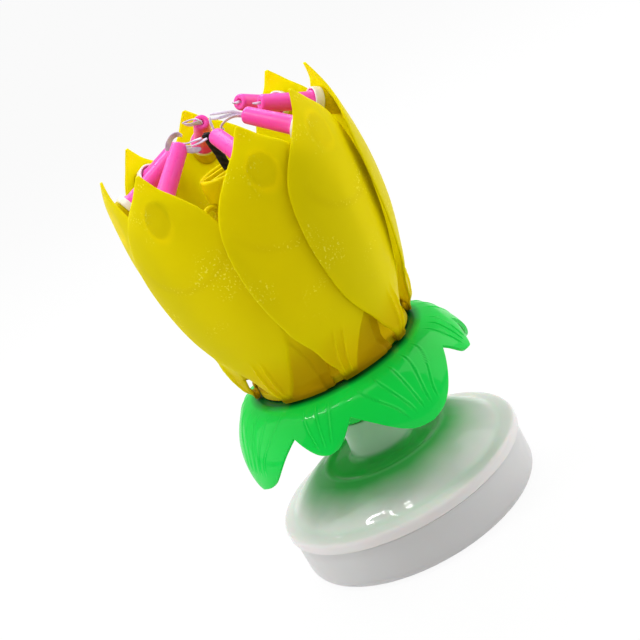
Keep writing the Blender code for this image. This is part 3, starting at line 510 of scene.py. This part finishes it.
def petalPlastic():
    material, tree, shader = startMaterial("petal plastic", Roughness=0.42, Specular_IOR_Level=0.02,
                                           Subsurface_Weight=0.45, Subsurface_Scale=0.004)
    shader.inputs["Subsurface Radius"].default_value = (1.0, 1.0, 0.02)
    place = objectPlace(tree)
    axes = node(tree, "SeparateXYZ", {0: place})
    across, height = axes.outputs[1], axes.outputs[2]
    cloud = noiseOf(tree, place, 45, 2)
    body = mixColour(tree, cloud, colour("d2bf00"), colour("dac900"))
    # painted light: the petals' inner faces lighter and more lemon yellow
    inside = node(tree, "Attribute", attribute_name="paintedInnerLight").outputs["Fac"]
    body = mixColour(tree, inside, body, colour("f4ea08"))
    # painted shade: warmer orange towards the foot
    paintedFootShade = spread(tree, height, 0.0535, 0.0665, 1.0, 0.0)   # warmer towards the foot, brown at its end
    body = mixColour(tree, doMath(tree, "MULTIPLY", paintedFootShade, 0.6), body, colour("cfa400"))
    # painted shade on the flap tucked under the next petal
    tucked = node(tree, "Attribute", attribute_name="tuckedShade").outputs["Fac"]
    body = mixColour(tree, doMath(tree, "MULTIPLY", tucked, 0.6), body, colour("a98200"))
    # painted shade: dark brown at the very foot, just above the collar
    body = mixColour(tree, spread(tree, height, 0.0508, 0.0540, 0.8, 0.0), body, colour("8f6400"))

    def ellipse(middle, wide, tall):
        a = doMath(tree, "DIVIDE", across, wide)
        b = doMath(tree, "DIVIDE", doMath(tree, "SUBTRACT", height, middle), tall)
        return doMath(tree, "SQRT", doMath(tree, "ADD", doMath(tree, "MULTIPLY", a, a), doMath(tree, "MULTIPLY", b, b)))

    socket = ellipse(0.1068, 0.0046, 0.0062)   # where the candle's socket is joined
    # painted light: lighter, warmer yellow over the socket, cancelling the shade it casts through the petal; the same
    # mask dents the surface
    socketLightAndDent = spread(tree, socket, 0.55, 1.05, 1.0, 0.0)
    body = mixColour(tree, doMath(tree, "MULTIPLY", socketLightAndDent, 0.5), body, colour("ffdc00"))
    pad = ellipse(0.0985, 0.0130, 0.0098)   # the thicker pad in the upper half ends in a soft U
    fade = spread(tree, height, 0.094, 0.102, 1.0, 0.0)
    crease = spread(tree, doMath(tree, "ABSOLUTE", doMath(tree, "SUBTRACT", pad, 1.0)), 0.0, 0.16, 1.0, 0.0)
    crease = doMath(tree, "MULTIPLY", crease, fade)
    # painted shade along the U crease
    body = mixColour(tree, doMath(tree, "MULTIPLY", crease, 0.12), body, colour("b49a00"))
    # painted glints: small bright specks in patches on the upper petals, also raised a little in the bump
    patches = doMath(tree, "MAXIMUM", spread(tree, noiseOf(tree, place, 95, 1), 0.56, 0.68),
                     doMath(tree, "MULTIPLY", crease, spread(tree, noiseOf(tree, place, 60, 1), 0.4, 0.6)))
    patches = doMath(tree, "MULTIPLY", patches, spread(tree, height, 0.066, 0.078))
    paintedGlintSpots = doMath(tree, "MULTIPLY", spread(tree, noiseOf(tree, place, 1700, 1), 0.60, 0.70), patches)
    body = mixColour(tree, doMath(tree, "MULTIPLY", paintedGlintSpots, 0.5), body, colour("fff45a"))
    tree.links.new(body, shader.inputs["Base Color"])
    tree.links.new(spread(tree, noiseOf(tree, place, 260), 0.3, 0.7, 0.34, 0.48), shader.inputs["Roughness"])
    step = doMath(tree, "MULTIPLY", spread(tree, pad, 0.86, 1.08, 1.0, 0.0), fade)
    relief = doMath(tree, "SUBTRACT", doMath(tree, "MULTIPLY", step, 0.6), doMath(tree, "MULTIPLY", socketLightAndDent, 0.5))
    first = bumpInto(tree, shader, relief, 0.0003, 0.6)
    grain = doMath(tree, "ADD", noiseOf(tree, place, 1500, 2), paintedGlintSpots)
    bumpInto(tree, shader, grain, 0.00003, 0.5, first)
    return material


def barrelRadius(z):
    return readLine(z, petals["radii"])


def petalHalves(z, k):
    # left and right half width; the right side stays wide down to the foot, tucked under the next petal
    left = right = readLine(z, petals["halfWidths"])
    foot = petals["flapFeet"][k]
    if z < 98.5:
        right += (max(right, readLine(z, petals["tuck"])) - right) * smoothShare(z, foot - 0.2, foot + 0.1)
    left -= petals["slim"][k] * smoothShare(z, 52.5, 55) * (1 - smoothShare(z, 62, 70))
    return left * (1 + (petals["widenLeft"][k] - 1) * (1 - smoothShare(z, 100, 112))), right


def petalPoint(z, across, depth, k):
    # a point of a petal whose top stands at angle 0 and whose foot lags behind by its lean
    radius = barrelRadius(z)
    angle = across / radius
    swing = math.radians(petals["leans"][k]) * (smoothShare(z, petals["leanStart"], petals["leanEnd"]) - 1)
    dent = 0.3 * noise.noise(Vector((across * 0.07, z * 0.05, k * 3.1))) * smoothShare(z, 60, 75)
    level = smoothShare(z, 51.6, 54.5)   # all petals stand on one circle at the foot
    radius += dent - petals["shingle"] * angle / (math.pi / 4) * level - depth
    radius += readLine(z, petals["bulge"]) * math.exp(-(across / 3.4) ** 2)
    body = readLine(z, petals["halfWidths"])
    radius -= petals["flapStep"] * smoothShare(across, body - 0.1, body + 0.35) * (1 - smoothShare(z, 68, 80)) * level
    crease = petals["creaseAt"]
    radius -= petals["creaseStep"] * smoothShare(across, crease - 0.1, crease + 0.25) * (1 - smoothShare(z, 65, 70))
    return Vector((radius * math.cos(angle + swing), radius * math.sin(angle + swing), z))


def petalRing(z, k, columns=64):
    left, right = petalHalves(z, k)
    thick = petals["thickness"] * (1 - 0.35 * smoothShare(z, 106, 118))
    edge = min(thick * 0.42, left * 0.8, right * 0.8)
    ribs = 0.6 * smoothShare(z, 51.5, 54) * (1 - smoothShare(z, 60.0, 66.5))
    spreadRibs = 0.85 + 0.35 * smoothShare(z, 52, 62)
    split = min(2.8, right * 0.6)   # more columns round the ribbed foot
    share = 0.55 + ((left + split) / (left + right) - 0.55) * smoothShare(z, 58, 72)
    places = []
    for i in range(columns + 1):
        t = i / columns
        if t < share:
            places.append(-left + edge + (split + left - edge) * t / share)
        else:
            places.append(split + (right - edge - split) * (t - share) / (1 - share))

    def thin(across):
        return 0.18 * abs(across / (left if across < 0 else right)) ** 5

    ring = []
    for across in places:
        rib = ribs * sum(math.exp(-((across - s * spreadRibs) / 0.32) ** 2) for s in (-1, 1))
        ring.append(petalPoint(z, across, thin(across) - rib, k))
    for i in range(1, 6):
        a = math.pi / 6 * i
        ring.append(petalPoint(z, right - edge + edge * math.sin(a), thick / 2 - (thick / 2 - 0.18) * math.cos(a), k))
    for across in places[::-1]:
        ring.append(petalPoint(z, across, thick - thin(across), k))
    for i in range(1, 6):
        a = math.pi / 6 * i
        ring.append(petalPoint(z, -left + edge - edge * math.sin(a), thick / 2 + (thick / 2 - 0.18) * math.cos(a), k))
    return ring


candleSet = {"footRadius": 30.6, "footHeights": (106.7, 106.2, 106.3, 106.7, 106.0, 107.2, 107.6, 106.7),
             "rises": (27.2, 29.3, 28.4, 28.9, 29.6, 20.5, 19.6, 32.2),
             "yaws": (5.7, 0.7, 12.4, 3.8, 3.2, -3.1, -0.9, -7.4), "candleRadius": 2.2,
             "tipReaches": (20.2, 20.2, 19.7, 20.2, 20.2, 20.2, 21.5, 20.6), "cupRadius": 3.5, "cupReach": 6.3,
             "socketRadius": 3.35, "socketReaches": (4.4, 4.4, 3.9, 4.4, 4.9, 4.2, 4.4, 4.4),
             "pools": (2.7, 2.7, 2.7, 2.7, 3.42, 2.5, 2.7, 2.7)}   # wax that has run down round the candle's foot


def candlePlace(k):
    # in the petal's own frame: Z runs from the petal's inner face along the candle, Y points up
    r = math.radians(candleSet["rises"][k])
    turn = Matrix(((0, math.sin(r), -math.cos(r)), (-1, 0, 0), (0, math.cos(r), math.sin(r)))).to_4x4()
    foot = Matrix.Translation((candleSet["footRadius"], 0, candleSet["footHeights"][k]))
    return foot @ turnZ(candleSet["yaws"][k]) @ turn


def depthToPetal(place, x, y):
    low, high = -8.0, 8.0
    for _ in range(24):
        middle = (low + high) / 2
        spot = place @ Vector((x, y, middle))
        skin = barrelRadius(spot.z) - petals["shingle"] * math.atan2(spot.y, spot.x) / (math.pi / 4)
        if math.hypot(spot.x, spot.y) > skin - petals["thickness"] / 2:
            low = middle
        else:
            high = middle
    return middle


def makePetal(k, material):
    lean = petals["leans"][k]
    foot = petals["flapFeet"][k]
    heights = [50.75 + 0.3 * i for i in range(7)] + [53.0 + 0.4 * i for i in range(33)]
    if foot > 51:
        heights = [z for z in heights if abs(z - foot) > 0.35]
        heights += [foot + 0.05 * i for i in (-5, -4, -3, -2, -1, 0, 1, 2, 4)]
    heights = sorted(heights) + [66.2 + i * 1.0 for i in range(39)]
    heights += [105.0 + 0.5 * i for i in range(23)] + [116.4, 116.8, 117.2, 117.6, 117.9, 118.0]
    shape = bmesh.new()
    layer = shape.verts.layers.float.new("tuckedShade")
    inside = shape.verts.layers.float.new("paintedInnerLight")
    rows = addLoft(shape, [petalRing(z, k) for z in heights])
    for z, row in zip(heights, rows):
        lag = math.radians(petals["leans"][k]) * (smoothShare(z, petals["leanStart"], petals["leanEnd"]) - 1)
        fade = 1 - smoothShare(z, 57, 74)
        for vert in row:
            across = (math.atan2(vert.co.y, vert.co.x) - lag) * barrelRadius(z)
            body = readLine(z, petals["halfWidths"])
            # painted shade on the tucked flap, fading upwards
            vert[layer] = smoothShare(across, body - 0.3, body + 0.8) * fade
        # painted light on the inner face
        for vert in row[70:135]:
            vert[inside] = 1.0
    hingeRadius, hingeHeight = petals["hinge"]
    bar = turnZ(-lean) @ Matrix.Translation((hingeRadius, 0, hingeHeight)) @ Matrix.Rotation(math.pi / 2, 4, "X")
    addTurned(shape, softCorners([(0, -1.8), (0.9, -1.8), (0.9, 1.8), (0, 1.8)], 0.25), 20, bar)
    place = candlePlace(k)
    rings = []
    steps = 40
    wide, reach = candleSet["socketRadius"], candleSet["socketReaches"][k]
    for radius, share in ((wide, 0.0), (wide, 0.9), (wide - 0.06, 0.98), (wide - 0.2, 1.0), (wide - 0.5, 1.0),
                          (wide - 0.5, 0.6), (0.4, 0.6)):
        ring = []
        for i in range(steps):
            a = 2 * math.pi * i / steps
            x, y = radius * math.cos(a), radius * math.sin(a)
            foot = depthToPetal(place, x, y)
            ring.append(place @ Vector((x, y, foot + (reach - foot) * share)))
        rings.append(ring)
    addLoft(shape, rings)
    place = turnZ(petals["first"] + 45 * k + lean)
    return finishPiece(f"petal_{k + 1}_shell", shape, material, f"petal_{k + 1}_body",
                       [f"petal_{k + 1}"], place, sharp=50)


# hub: the ring that holds the petals' feet
petalHub = {"bore": 1.6, "rim": 21.0, "bottom": 50.6, "top": 52.4, "rimFoot": 19.6, "floor": 51.8}


def makeHub(material):
    d = petalHub
    profile = [(d["bore"], d["bottom"]), (d["rim"], d["bottom"], 0.2),
               (d["rim"], d["top"], 0.5), (d["rimFoot"], d["top"], 0.3),
               (d["rimFoot"] - 1.0, d["floor"], 0.3), (d["bore"], d["floor"])]
    shape = bmesh.new()
    closeTurned(shape, softCorners(profile, 0.15, 4), 160)
    return finishPiece("petal_hub_ring", shape, material, "flower", ["petal_hub"], sharp=50)


# candles in their cups, with flat lavender wicks

def waxPink():
    material, tree, shader = startMaterial("candle wax", Roughness=0.34, Specular_IOR_Level=0.3,
                                           Subsurface_Weight=0.3, Subsurface_Scale=0.002)
    shader.inputs["Subsurface Radius"].default_value = (1.0, 0.4, 0.7)
    place = objectPlace(tree)
    body = mixColour(tree, noiseOf(tree, place, 130), colour("fb46b0"), colour("fd5cc0"))
    streaks = noiseOf(tree, node(tree, "Mapping", {"Vector": place, "Scale": (1.0, 1.0, 0.12)}).outputs[0], 900, 2)
    body = mixColour(tree, spread(tree, streaks, 0.55, 0.75, 0.0, 0.25), body, colour("ff96d6"))
    tree.links.new(body, shader.inputs["Base Color"])
    tree.links.new(spread(tree, noiseOf(tree, place, 500), 0.3, 0.7, 0.26, 0.44), shader.inputs["Roughness"])
    bumpInto(tree, shader, noiseOf(tree, place, 420, 3), 0.00008, 0.45)
    return material


def cupWhitePlastic():
    material, tree, shader = startMaterial("candle cup plastic", Roughness=0.35, Specular_IOR_Level=0.4,
                                           Subsurface_Weight=0.1, Subsurface_Scale=0.001)
    place = objectPlace(tree)
    tree.links.new(mixColour(tree, noiseOf(tree, place, 200), colour("ecebea"), colour("f7f6f6")),
                   shader.inputs["Base Color"])
    bumpInto(tree, shader, noiseOf(tree, place, 1200, 2), 0.00002, 0.5)
    return material


def wickCotton():
    # flat woven tape, lavender with paler threads along it
    material, tree, shader = startMaterial("wick cotton", Roughness=0.85, Specular_IOR_Level=0.2, Sheen_Weight=0.15)
    place = objectPlace(tree)
    threads = node(tree, "TexWave", {"Vector": place, "Scale": 1500.0, "Distortion": 2.0, "Detail": 2.0},
                   wave_type="BANDS", bands_direction="DIAGONAL").outputs["Fac"]
    body = mixColour(tree, threads, colour("d8c6ea"), colour("fbf2fc"))
    body = mixColour(tree, spread(tree, noiseOf(tree, place, 380), 0.45, 0.65, 0.0, 0.5), body, colour("b3a2d2"))
    tree.links.new(body, shader.inputs["Base Color"])
    bumpInto(tree, shader, threads, 0.00012, 0.7)
    return material


def makeCandle(k, wax, white):
    d = candleSet
    place = turnZ(petals["first"] + 45 * k + petals["leans"][k]) @ candlePlace(k)
    body = f"petal_{k + 1}_body"
    start, rim, wide = d["socketReaches"][k], d["cupReach"], d["cupRadius"]
    inner = d["socketRadius"] - 0.65
    cup = softCorners([(0, start - 0.7), (inner, start - 0.7), (inner, start + 0.05), (wide, start + 0.05, 0.2),
                       (wide, rim, 0.3), (wide - 0.5, rim, 0.25), (wide - 0.65, start + 0.6, 0.3),
                       (0, start + 0.4)], 0.1, 4)
    shape = bmesh.new()
    addTurned(shape, cup, 56)
    finishPiece(f"candle_cup_{k + 1}_white", shape, white, body, [f"candle_cup_{k + 1}"], place)
    r, tip, pool = d["candleRadius"], d["tipReaches"][k], d["pools"][k]
    foot = min(pool, wide - 0.75)
    stick = softCorners([(0, start + 0.5), (foot, start + 0.7), (foot, rim - 0.3, 0.2), (pool, rim + 0.02, 0.25),
                         (pool - 0.35, rim + 0.7, 0.6), (r + 0.08, rim + 1.2 + pool - 2.5, 1.2),
                         (r - 0.14, tip - 0.5, 0.5), (r - 0.45, tip, 0.35), (0.85, tip, 0.3), (0.65, tip - 0.9, 0.3),
                         (0, tip - 1.1)], 0.3, 4)
    shape = bmesh.new()
    addTurned(shape, stick, 56)
    finishPiece(f"candle_{k + 1}_wax", shape, wax, body, [f"candle_{k + 1}"], place)


# wick strands: each leaves its candle's tip and is given by steps to the right, up and towards the viewer
wicks = [
    [[(0, 0, 0), (-0.4, 1.4, 0.6), (-1.0, 2.9, 0.9), (-1.2, 4.1, 0.6)]],
    [[(0, 0, 0), (-2.5, 0.6, 0.4), (-5.0, 0.4, 0.8), (-8.2, -0.1, 0.6)],
     [(0, -0.4, 0), (-2.3, -0.5, 1.0), (-4.3, -1.5, 1.4), (-5.5, -3.0, 1.0), (-4.8, -3.6, 0.8)],
     [(0, 0, 0), (-3.3, -0.1, 0.4), (-5.8, -0.8, 0.4), (-7.8, -1.2, 0.6)]],
    [[(0, 0, 0), (-0.8, -0.2, 0.4), (-1.6, -0.2, 0.6)]],
    [[(0, 0, 0), (-0.8, -0.3, 0.4), (-1.6, -0.2, 0.6)]],
    [[(0, 0, 0), (-1.3, 0.5, 0.8), (-2.9, 0.2, 0.8), (-4.6, -0.5, 0.4)],
     [(0, -0.2, 0), (-1.2, -0.5, 1.0), (-2.6, -0.9, 1.0), (-4.2, -0.7, 0.8)]],
    [[(0, 0, 0), (0.3, 0.8, -0.3), (0.7, 1.4, -0.4)]],
    [[(0, 0, 0), (-0.9, 0.8, 0.5), (-1.1, 2.3, 0.8), (-0.4, 4.0, 0.8), (0.9, 4.9, 0.6), (2.2, 4.6, 0.6)]],
    [[(0, 0, 0), (1.6, -0.3, 0.9), (3.3, -0.1, 1.2), (4.5, 0.5, 1.0), (6.3, 1.5, 0.8)],
     [(0.1, 0, 0), (1.6, -1.1, 1.2), (3.2, -1.3, 1.4), (4.9, -0.9, 1.2)],
     [(0, 0.2, 0), (1.7, 0.4, 0.6), (3.3, 1.0, 0.8), (5.0, 1.6, 0.6)]],
]
wickTape = {"widths": (0.6, 0.7, 0.8, 0.8, 1.1, 1.2, 1.6, 1.4), "thickness": 0.35, "twist": 70}


def ribbon(shape, path, width, thickness, twist):
    line = smoothLine(path, 8)
    side = Vector((0.3, 0.2, 1.0)).normalized()
    rings = []
    for i, spot in enumerate(line):
        ahead = (line[min(i + 1, len(line) - 1)] - line[max(i - 1, 0)]).normalized()
        side = (side - ahead * side.dot(ahead)).normalized()
        t = i / (len(line) - 1)
        turn = Matrix.Rotation(math.radians(twist) * t, 3, ahead)
        flat, thin = turn @ side, turn @ ahead.cross(side)
        half = width / 2 * (1 - 0.45 * smoothShare(t, 0.85, 1.0)) * (0.75 + 0.25 * smoothShare(t, 0.0, 0.25))
        ring = []
        for j in range(12):
            a = 2 * math.pi * j / 12
            ring.append(spot + flat * half * math.copysign(abs(math.cos(a)) ** 0.6, math.cos(a))
                        + thin * thickness / 2 * math.copysign(abs(math.sin(a)) ** 0.6, math.sin(a)))
        rings.append(ring)
    addLoft(shape, rings)


def makeWick(k, material, cameraAxes):
    place = turnZ(petals["first"] + 45 * k + petals["leans"][k]) @ candlePlace(k)
    tip = place @ Vector((0, 0, candleSet["tipReaches"][k]))
    root = place @ Vector((0, 0, candleSet["tipReaches"][k] - 1.0))
    rightward, upward, backward = cameraAxes
    shape = bmesh.new()
    for n, strand in enumerate(wicks[k]):
        path = [root] + [tip + rightward * a + upward * b + backward * c for a, b, c in strand]
        ribbon(shape, path, wickTape["widths"][k], wickTape["thickness"], wickTape["twist"] * (1 - 2 * (n % 2)))
    finishPiece(f"wick_{k + 1}_tape", shape, material, f"petal_{k + 1}_body", [f"wick_{k + 1}"],
                sharp=60)


# fountain candle in the middle: a yellow cup with two bars across it, two loops below and a black fuse

fountain = {"rim": 105.5, "cupRadius": 8.1, "cupFoot": 8.5, "depth": 6.0, "stem": 5.4, "bore": 4.6, "foot": 52.5,
            "barTurn": 23.5, "barOffset": 2.6, "loopAngles": (-150.0, 30.0), "loopRadius": 10.6, "loopHeight": 98.0}


def makeFountain(yellow, black):
    d = fountain
    floor = d["rim"] - d["depth"]
    profile = [(d["bore"], d["foot"]), (8.0, d["foot"]), (8.0, d["foot"] + 1.2), (d["stem"] + 0.6, d["foot"] + 2.0, 0.8),
               (d["stem"], d["foot"] + 6.0, 1.0), (d["stem"], floor - 2.6, 1.2), (d["cupFoot"], floor, 1.0),
               (d["cupRadius"], d["rim"], 0.6), (d["cupRadius"] - 1.3, d["rim"], 0.55),
               (d["cupRadius"] - 1.1, floor + 0.8, 1.5), (d["bore"], floor - 1.4, 0.5)]
    shape = bmesh.new()
    closeTurned(shape, softCorners(profile, 0.25, 4), 72)
    for side in (-1, 1):
        made = bmesh.ops.create_cube(shape, size=1.0)
        bmesh.ops.transform(shape, matrix=turnZ(d["barTurn"]) @ Matrix.Translation((0, side * d["barOffset"],
                            d["rim"] - 0.9)) @ Matrix.Diagonal((13.6, 1.1, 1.8, 1)), verts=made["verts"])
    for angle in d["loopAngles"]:
        place = (turnZ(angle) @ Matrix.Translation((d["loopRadius"], 0, d["loopHeight"]))
                 @ Matrix.Rotation(math.pi / 2, 4, "X"))
        rings = []
        for i in range(33):
            a = 2 * math.pi * i / 32
            centre = Vector((2.0 * math.cos(a), 1.8 * math.sin(a), 0))
            outward = Vector((math.cos(a), math.sin(a), 0))
            rings.append([place @ (centre + outward * 0.75 * math.cos(b) + Vector((0, 0, 0.95 * math.sin(b))))
                          for b in (math.pi / 6 * j for j in range(12))])
        addLoft(shape, rings, capped=False)
    finishPiece("fountain_cup", shape, yellow, "flower", ["fountain_holder"], sharp=50)

    line = smoothLine([(0, 0, 93.0), (-0.05, 0, 98.0), (-0.1, -0.05, 103.0), (-0.3, -0.2, 108.0),
                       (-0.6, -0.4, 112.0), (-1.0, -0.7, 115.5)], 10)
    rings = []
    for i, spot in enumerate(line):
        end = min(1.0, 0.35 + 1.3 * (len(line) - 1 - i) / 4)
        ring = []
        for j in range(36):
            a = 2 * math.pi * j / 36
            radius = (1.12 + 0.07 * math.cos(3 * a + i * 0.55)) * end
            ring.append(spot + Vector((radius * math.cos(a), radius * math.sin(a), 0)))
        rings.append(ring)
    shape = bmesh.new()
    addLoft(shape, rings)
    finishPiece("fountain_fuse_cord", shape, black, "flower", ["fountain_fuse"], sharp=60)


def fuseBlack():
    material, tree, shader = startMaterial("fuse cord", Roughness=0.75, Specular_IOR_Level=0.25)
    place = objectPlace(tree)
    threads = node(tree, "TexWave", {"Vector": place, "Scale": 420.0, "Distortion": 1.5}, wave_type="BANDS",
                   bands_direction="DIAGONAL").outputs["Fac"]
    tree.links.new(mixColour(tree, threads, colour("0b0a0c"), colour("1f1c20")), shader.inputs["Base Color"])
    bumpInto(tree, shader, threads, 0.0001, 0.6)
    return material


# inner parts keep their CAD shape and get a finish

def grainyFinish(name, dark, light, rough, metal=0.0, scale=300.0, stretch=(1, 1, 1), specular=0.45):
    material, tree, shader = startMaterial(name, Metallic=metal, Specular_IOR_Level=specular)
    place = node(tree, "Mapping", {"Vector": objectPlace(tree), "Scale": stretch}).outputs[0]
    cloud = noiseOf(tree, place, scale)
    tree.links.new(mixColour(tree, cloud, colour(dark), colour(light)), shader.inputs["Base Color"])
    tree.links.new(spread(tree, cloud, 0.3, 0.7, rough[0], rough[1]), shader.inputs["Roughness"])
    bumpInto(tree, shader, noiseOf(tree, place, scale * 3, 2), 0.00002, 0.4)
    return material


def boardFinish():
    # green solder mask with paler copper tracks under it
    material, tree, shader = startMaterial("circuit board", Roughness=0.3, Specular_IOR_Level=0.5)
    place = objectPlace(tree)
    tracks = node(tree, "TexBrick", {"Vector": place, "Scale": 320.0, "Mortar Size": 0.08, "Brick Width": 0.9,
                                     "Row Height": 0.3}).outputs["Fac"]
    body = mixColour(tree, tracks, colour("14602f"), colour("2c8a4a"))
    tree.links.new(body, shader.inputs["Base Color"])
    bumpInto(tree, shader, tracks, 0.00003, 0.6)
    return material


def dressNodes(finishes):
    for names, material in finishes:
        for name in names:
            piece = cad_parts[name]
            for slot in piece.material_slots:
                slot.material = material


# stage: plain pale floor, soft light, camera at the photograph's angle

view = {"target": 59.0, "right": 1.11, "up": 0.85, "distance": 400.4, "elevation": 17.88, "roll": 29.4,
        "lens": 89.58}
light = {"ambient": 0.40, "left": 0.72, "right": 1.35, "back": 2.0, "top": 0.2, "strip": 1.8,
         "strips": [((-0.18, -0.049, 0.396), (0.077, -0.044, 0.033), 0.12),
                    ((-0.046, -0.118, 0.474), (0.95, -0.1, 0.2), 0.035),
                    ((-0.120, -0.085, 0.415), (0.73, 0.61, 0.32), 0.14)]}


def placeCamera():
    elevation = math.radians(view["elevation"])
    rightward = Vector((1, 0, 0))
    upward = Vector((0, math.sin(elevation), math.cos(elevation)))
    backward = Vector((0, -math.cos(elevation), math.sin(elevation)))
    target = Vector((0, 0, view["target"])) + rightward * view["right"] + upward * view["up"]
    turn = Matrix((rightward, upward, backward)).transposed() @ Matrix.Rotation(-math.radians(view["roll"]), 3, "Z")
    data = bpy.data.cameras.new("camera")
    data.lens, data.sensor_width = view["lens"], 36
    data.clip_start, data.clip_end = 0.01, 20
    camera = bpy.data.objects.new("camera", data)
    camera.matrix_world = Matrix.Translation((target + backward * view["distance"]) * mm) @ turn.to_4x4()
    bpy.context.collection.objects.link(camera)
    bpy.context.scene.camera = camera
    return [turn.col[i].copy() for i in range(3)]


def addLamp(name, spot, aim, size, power, run=(1, 0, 0)):
    data = bpy.data.lights.new(name, "AREA")
    data.shape, data.size, data.size_y = "RECTANGLE", size[0], size[1]
    data.energy = power
    lamp = bpy.data.objects.new(name, data)
    lamp.location = spot
    back = (Vector(spot) - Vector(aim)).normalized()
    along = (Vector(run) - back * back.dot(Vector(run))).normalized()
    lamp.rotation_euler = Matrix((along, back.cross(along), back)).transposed().to_euler()
    bpy.context.collection.objects.link(lamp)
    return lamp


def makeStage():
    shape = bmesh.new()
    bmesh.ops.create_grid(shape, x_segments=1, y_segments=1, size=6.0)
    mesh = bpy.data.meshes.new("floor")
    shape.to_mesh(mesh)
    shape.free()
    floor = bpy.data.objects.new("floor", mesh)
    floor.location = (0, 0, -0.0002)
    bpy.context.collection.objects.link(floor)
    material, tree, shader = startMaterial("pale floor", Roughness=0.9, Specular_IOR_Level=0.1)
    shader.inputs["Base Color"].default_value = grey(0.9)
    rays = node(tree, "LightPath")
    seen = doMath(tree, "MAXIMUM", rays.outputs["Is Camera Ray"],
                  doMath(tree, "MAXIMUM", rays.outputs["Is Glossy Ray"], rays.outputs["Is Transmission Ray"]))
    glow = node(tree, "Emission", {"Color": grey(1.0), "Strength": 1.0})
    mix = node(tree, "MixShader", {0: doMath(tree, "MULTIPLY", seen, 0.93), 1: shader.outputs[0], 2: glow.outputs[0]})
    tree.links.new(mix.outputs[0], tree.nodes["Material Output"].inputs["Surface"])
    mesh.materials.append(material)

    world = bpy.data.worlds.new("studio")
    bpy.context.scene.world = world
    world.use_nodes = True
    tree = world.node_tree
    rays = node(tree, "LightPath")
    seen = doMath(tree, "MAXIMUM", rays.outputs["Is Camera Ray"], rays.outputs["Is Transmission Ray"])
    strength = doMath(tree, "ADD", doMath(tree, "MULTIPLY", seen, 1.0 - light["ambient"]), light["ambient"])
    background = tree.nodes["Background"]
    background.inputs["Color"].default_value = grey(1.0)
    tree.links.new(strength, background.inputs["Strength"])
    bpy.context.scene.view_settings.view_transform = "Standard"

    addLamp("left softbox", (-0.42, 0.06, 0.30), (0, 0, 0.07), (0.5, 0.5), light["left"], (0, 1, 0))
    addLamp("right softbox", (0.42, 0.06, 0.30), (0, 0, 0.07), (0.5, 0.5), light["right"], (0, 1, 0))
    addLamp("back softbox", (0.0, 0.30, 0.50), (0, 0, 0.09), (0.4, 0.3), light["back"])
    for spot, run, length in light["strips"]:   # these show as small bright dashes on collar and lid
        addLamp("strip", spot, (0, 0, 0.045), (length, 0.006), light["strip"] * length, run)
    addLamp("top", (0.05, -0.12, 0.55), (0, 0, 0.09), (0.2, 0.2), light["top"])


cameraAxes = placeCamera()
makeStage()
print("camera and light placed")

cupGrey, lidMilk, leafGreen, petalYellow = cupPlastic(), lidPlastic(), leafPlastic(), petalPlastic()
# painted shade: the hub gets a darker copy of the petal yellow
shadedHubYellow = grainyFinish("hub plastic", "c4ac00", "ceb800", (0.5, 0.65), 0.0, 150, (1, 1, 1), 0.05)
wax, cupWhite, wickTapeCotton, fuse = waxPink(), cupWhitePlastic(), wickCotton(), fuseBlack()
steel = grainyFinish("steel", "9a9a9e", "c8c8cc", (0.22, 0.4), 1.0, 260, (1, 1, 8))
brass = grainyFinish("brass", "b5853a", "d9b060", (0.25, 0.42), 1.0, 240)
gearPlastic = grainyFinish("gear plastic", "dbd8cc", "ecebe2", (0.35, 0.5), 0.0, 180)
resin = grainyFinish("black resin", "0c0c0d", "1c1c1e", (0.2, 0.4), 0.0, 220)
ceramic = grainyFinish("buzzer ceramic", "dcd6c8", "ece8dc", (0.5, 0.7), 0.0, 500)
paper = grainyFinish("paper tube", "b5a88e", "cfc4ac", (0.75, 0.9), 0.0, 420, (1, 1, 6), 0.2)
board = boardFinish()
dressNodes([
    (["motor", "motor_shaft", "idler_pin", "hub_screw", "button_cell_1", "button_cell_2", "button_cell_3",
      "case_screw_1", "case_screw_2", "case_screw_3"], steel),
    (["motor_pinion", "buzzer_disc", "battery_contact_plus", "battery_contact_minus"], brass),
    (["idler_gear", "spindle_gear", "spindle"], gearPlastic),
    (["chip_blob", "start_sensor"], resin), (["buzzer_ceramic"], ceramic), (["fountain_tube"], paper),
    (["circuit_board"], board)])
print("inner parts finished")

makeBaseCup(cupGrey)
makeBaseLid(lidMilk)
print("base made")
makeCollar(leafGreen)
makeHub(shadedHubYellow)
print("collar and hub made")
for k in range(8):
    makePetal(k, petalYellow)
    makeCandle(k, wax, cupWhite)
    makeWick(k, wickTapeCotton, cameraAxes)
print("petals and candles made")
makeFountain(petalYellow, fuse)
print("fountain made")
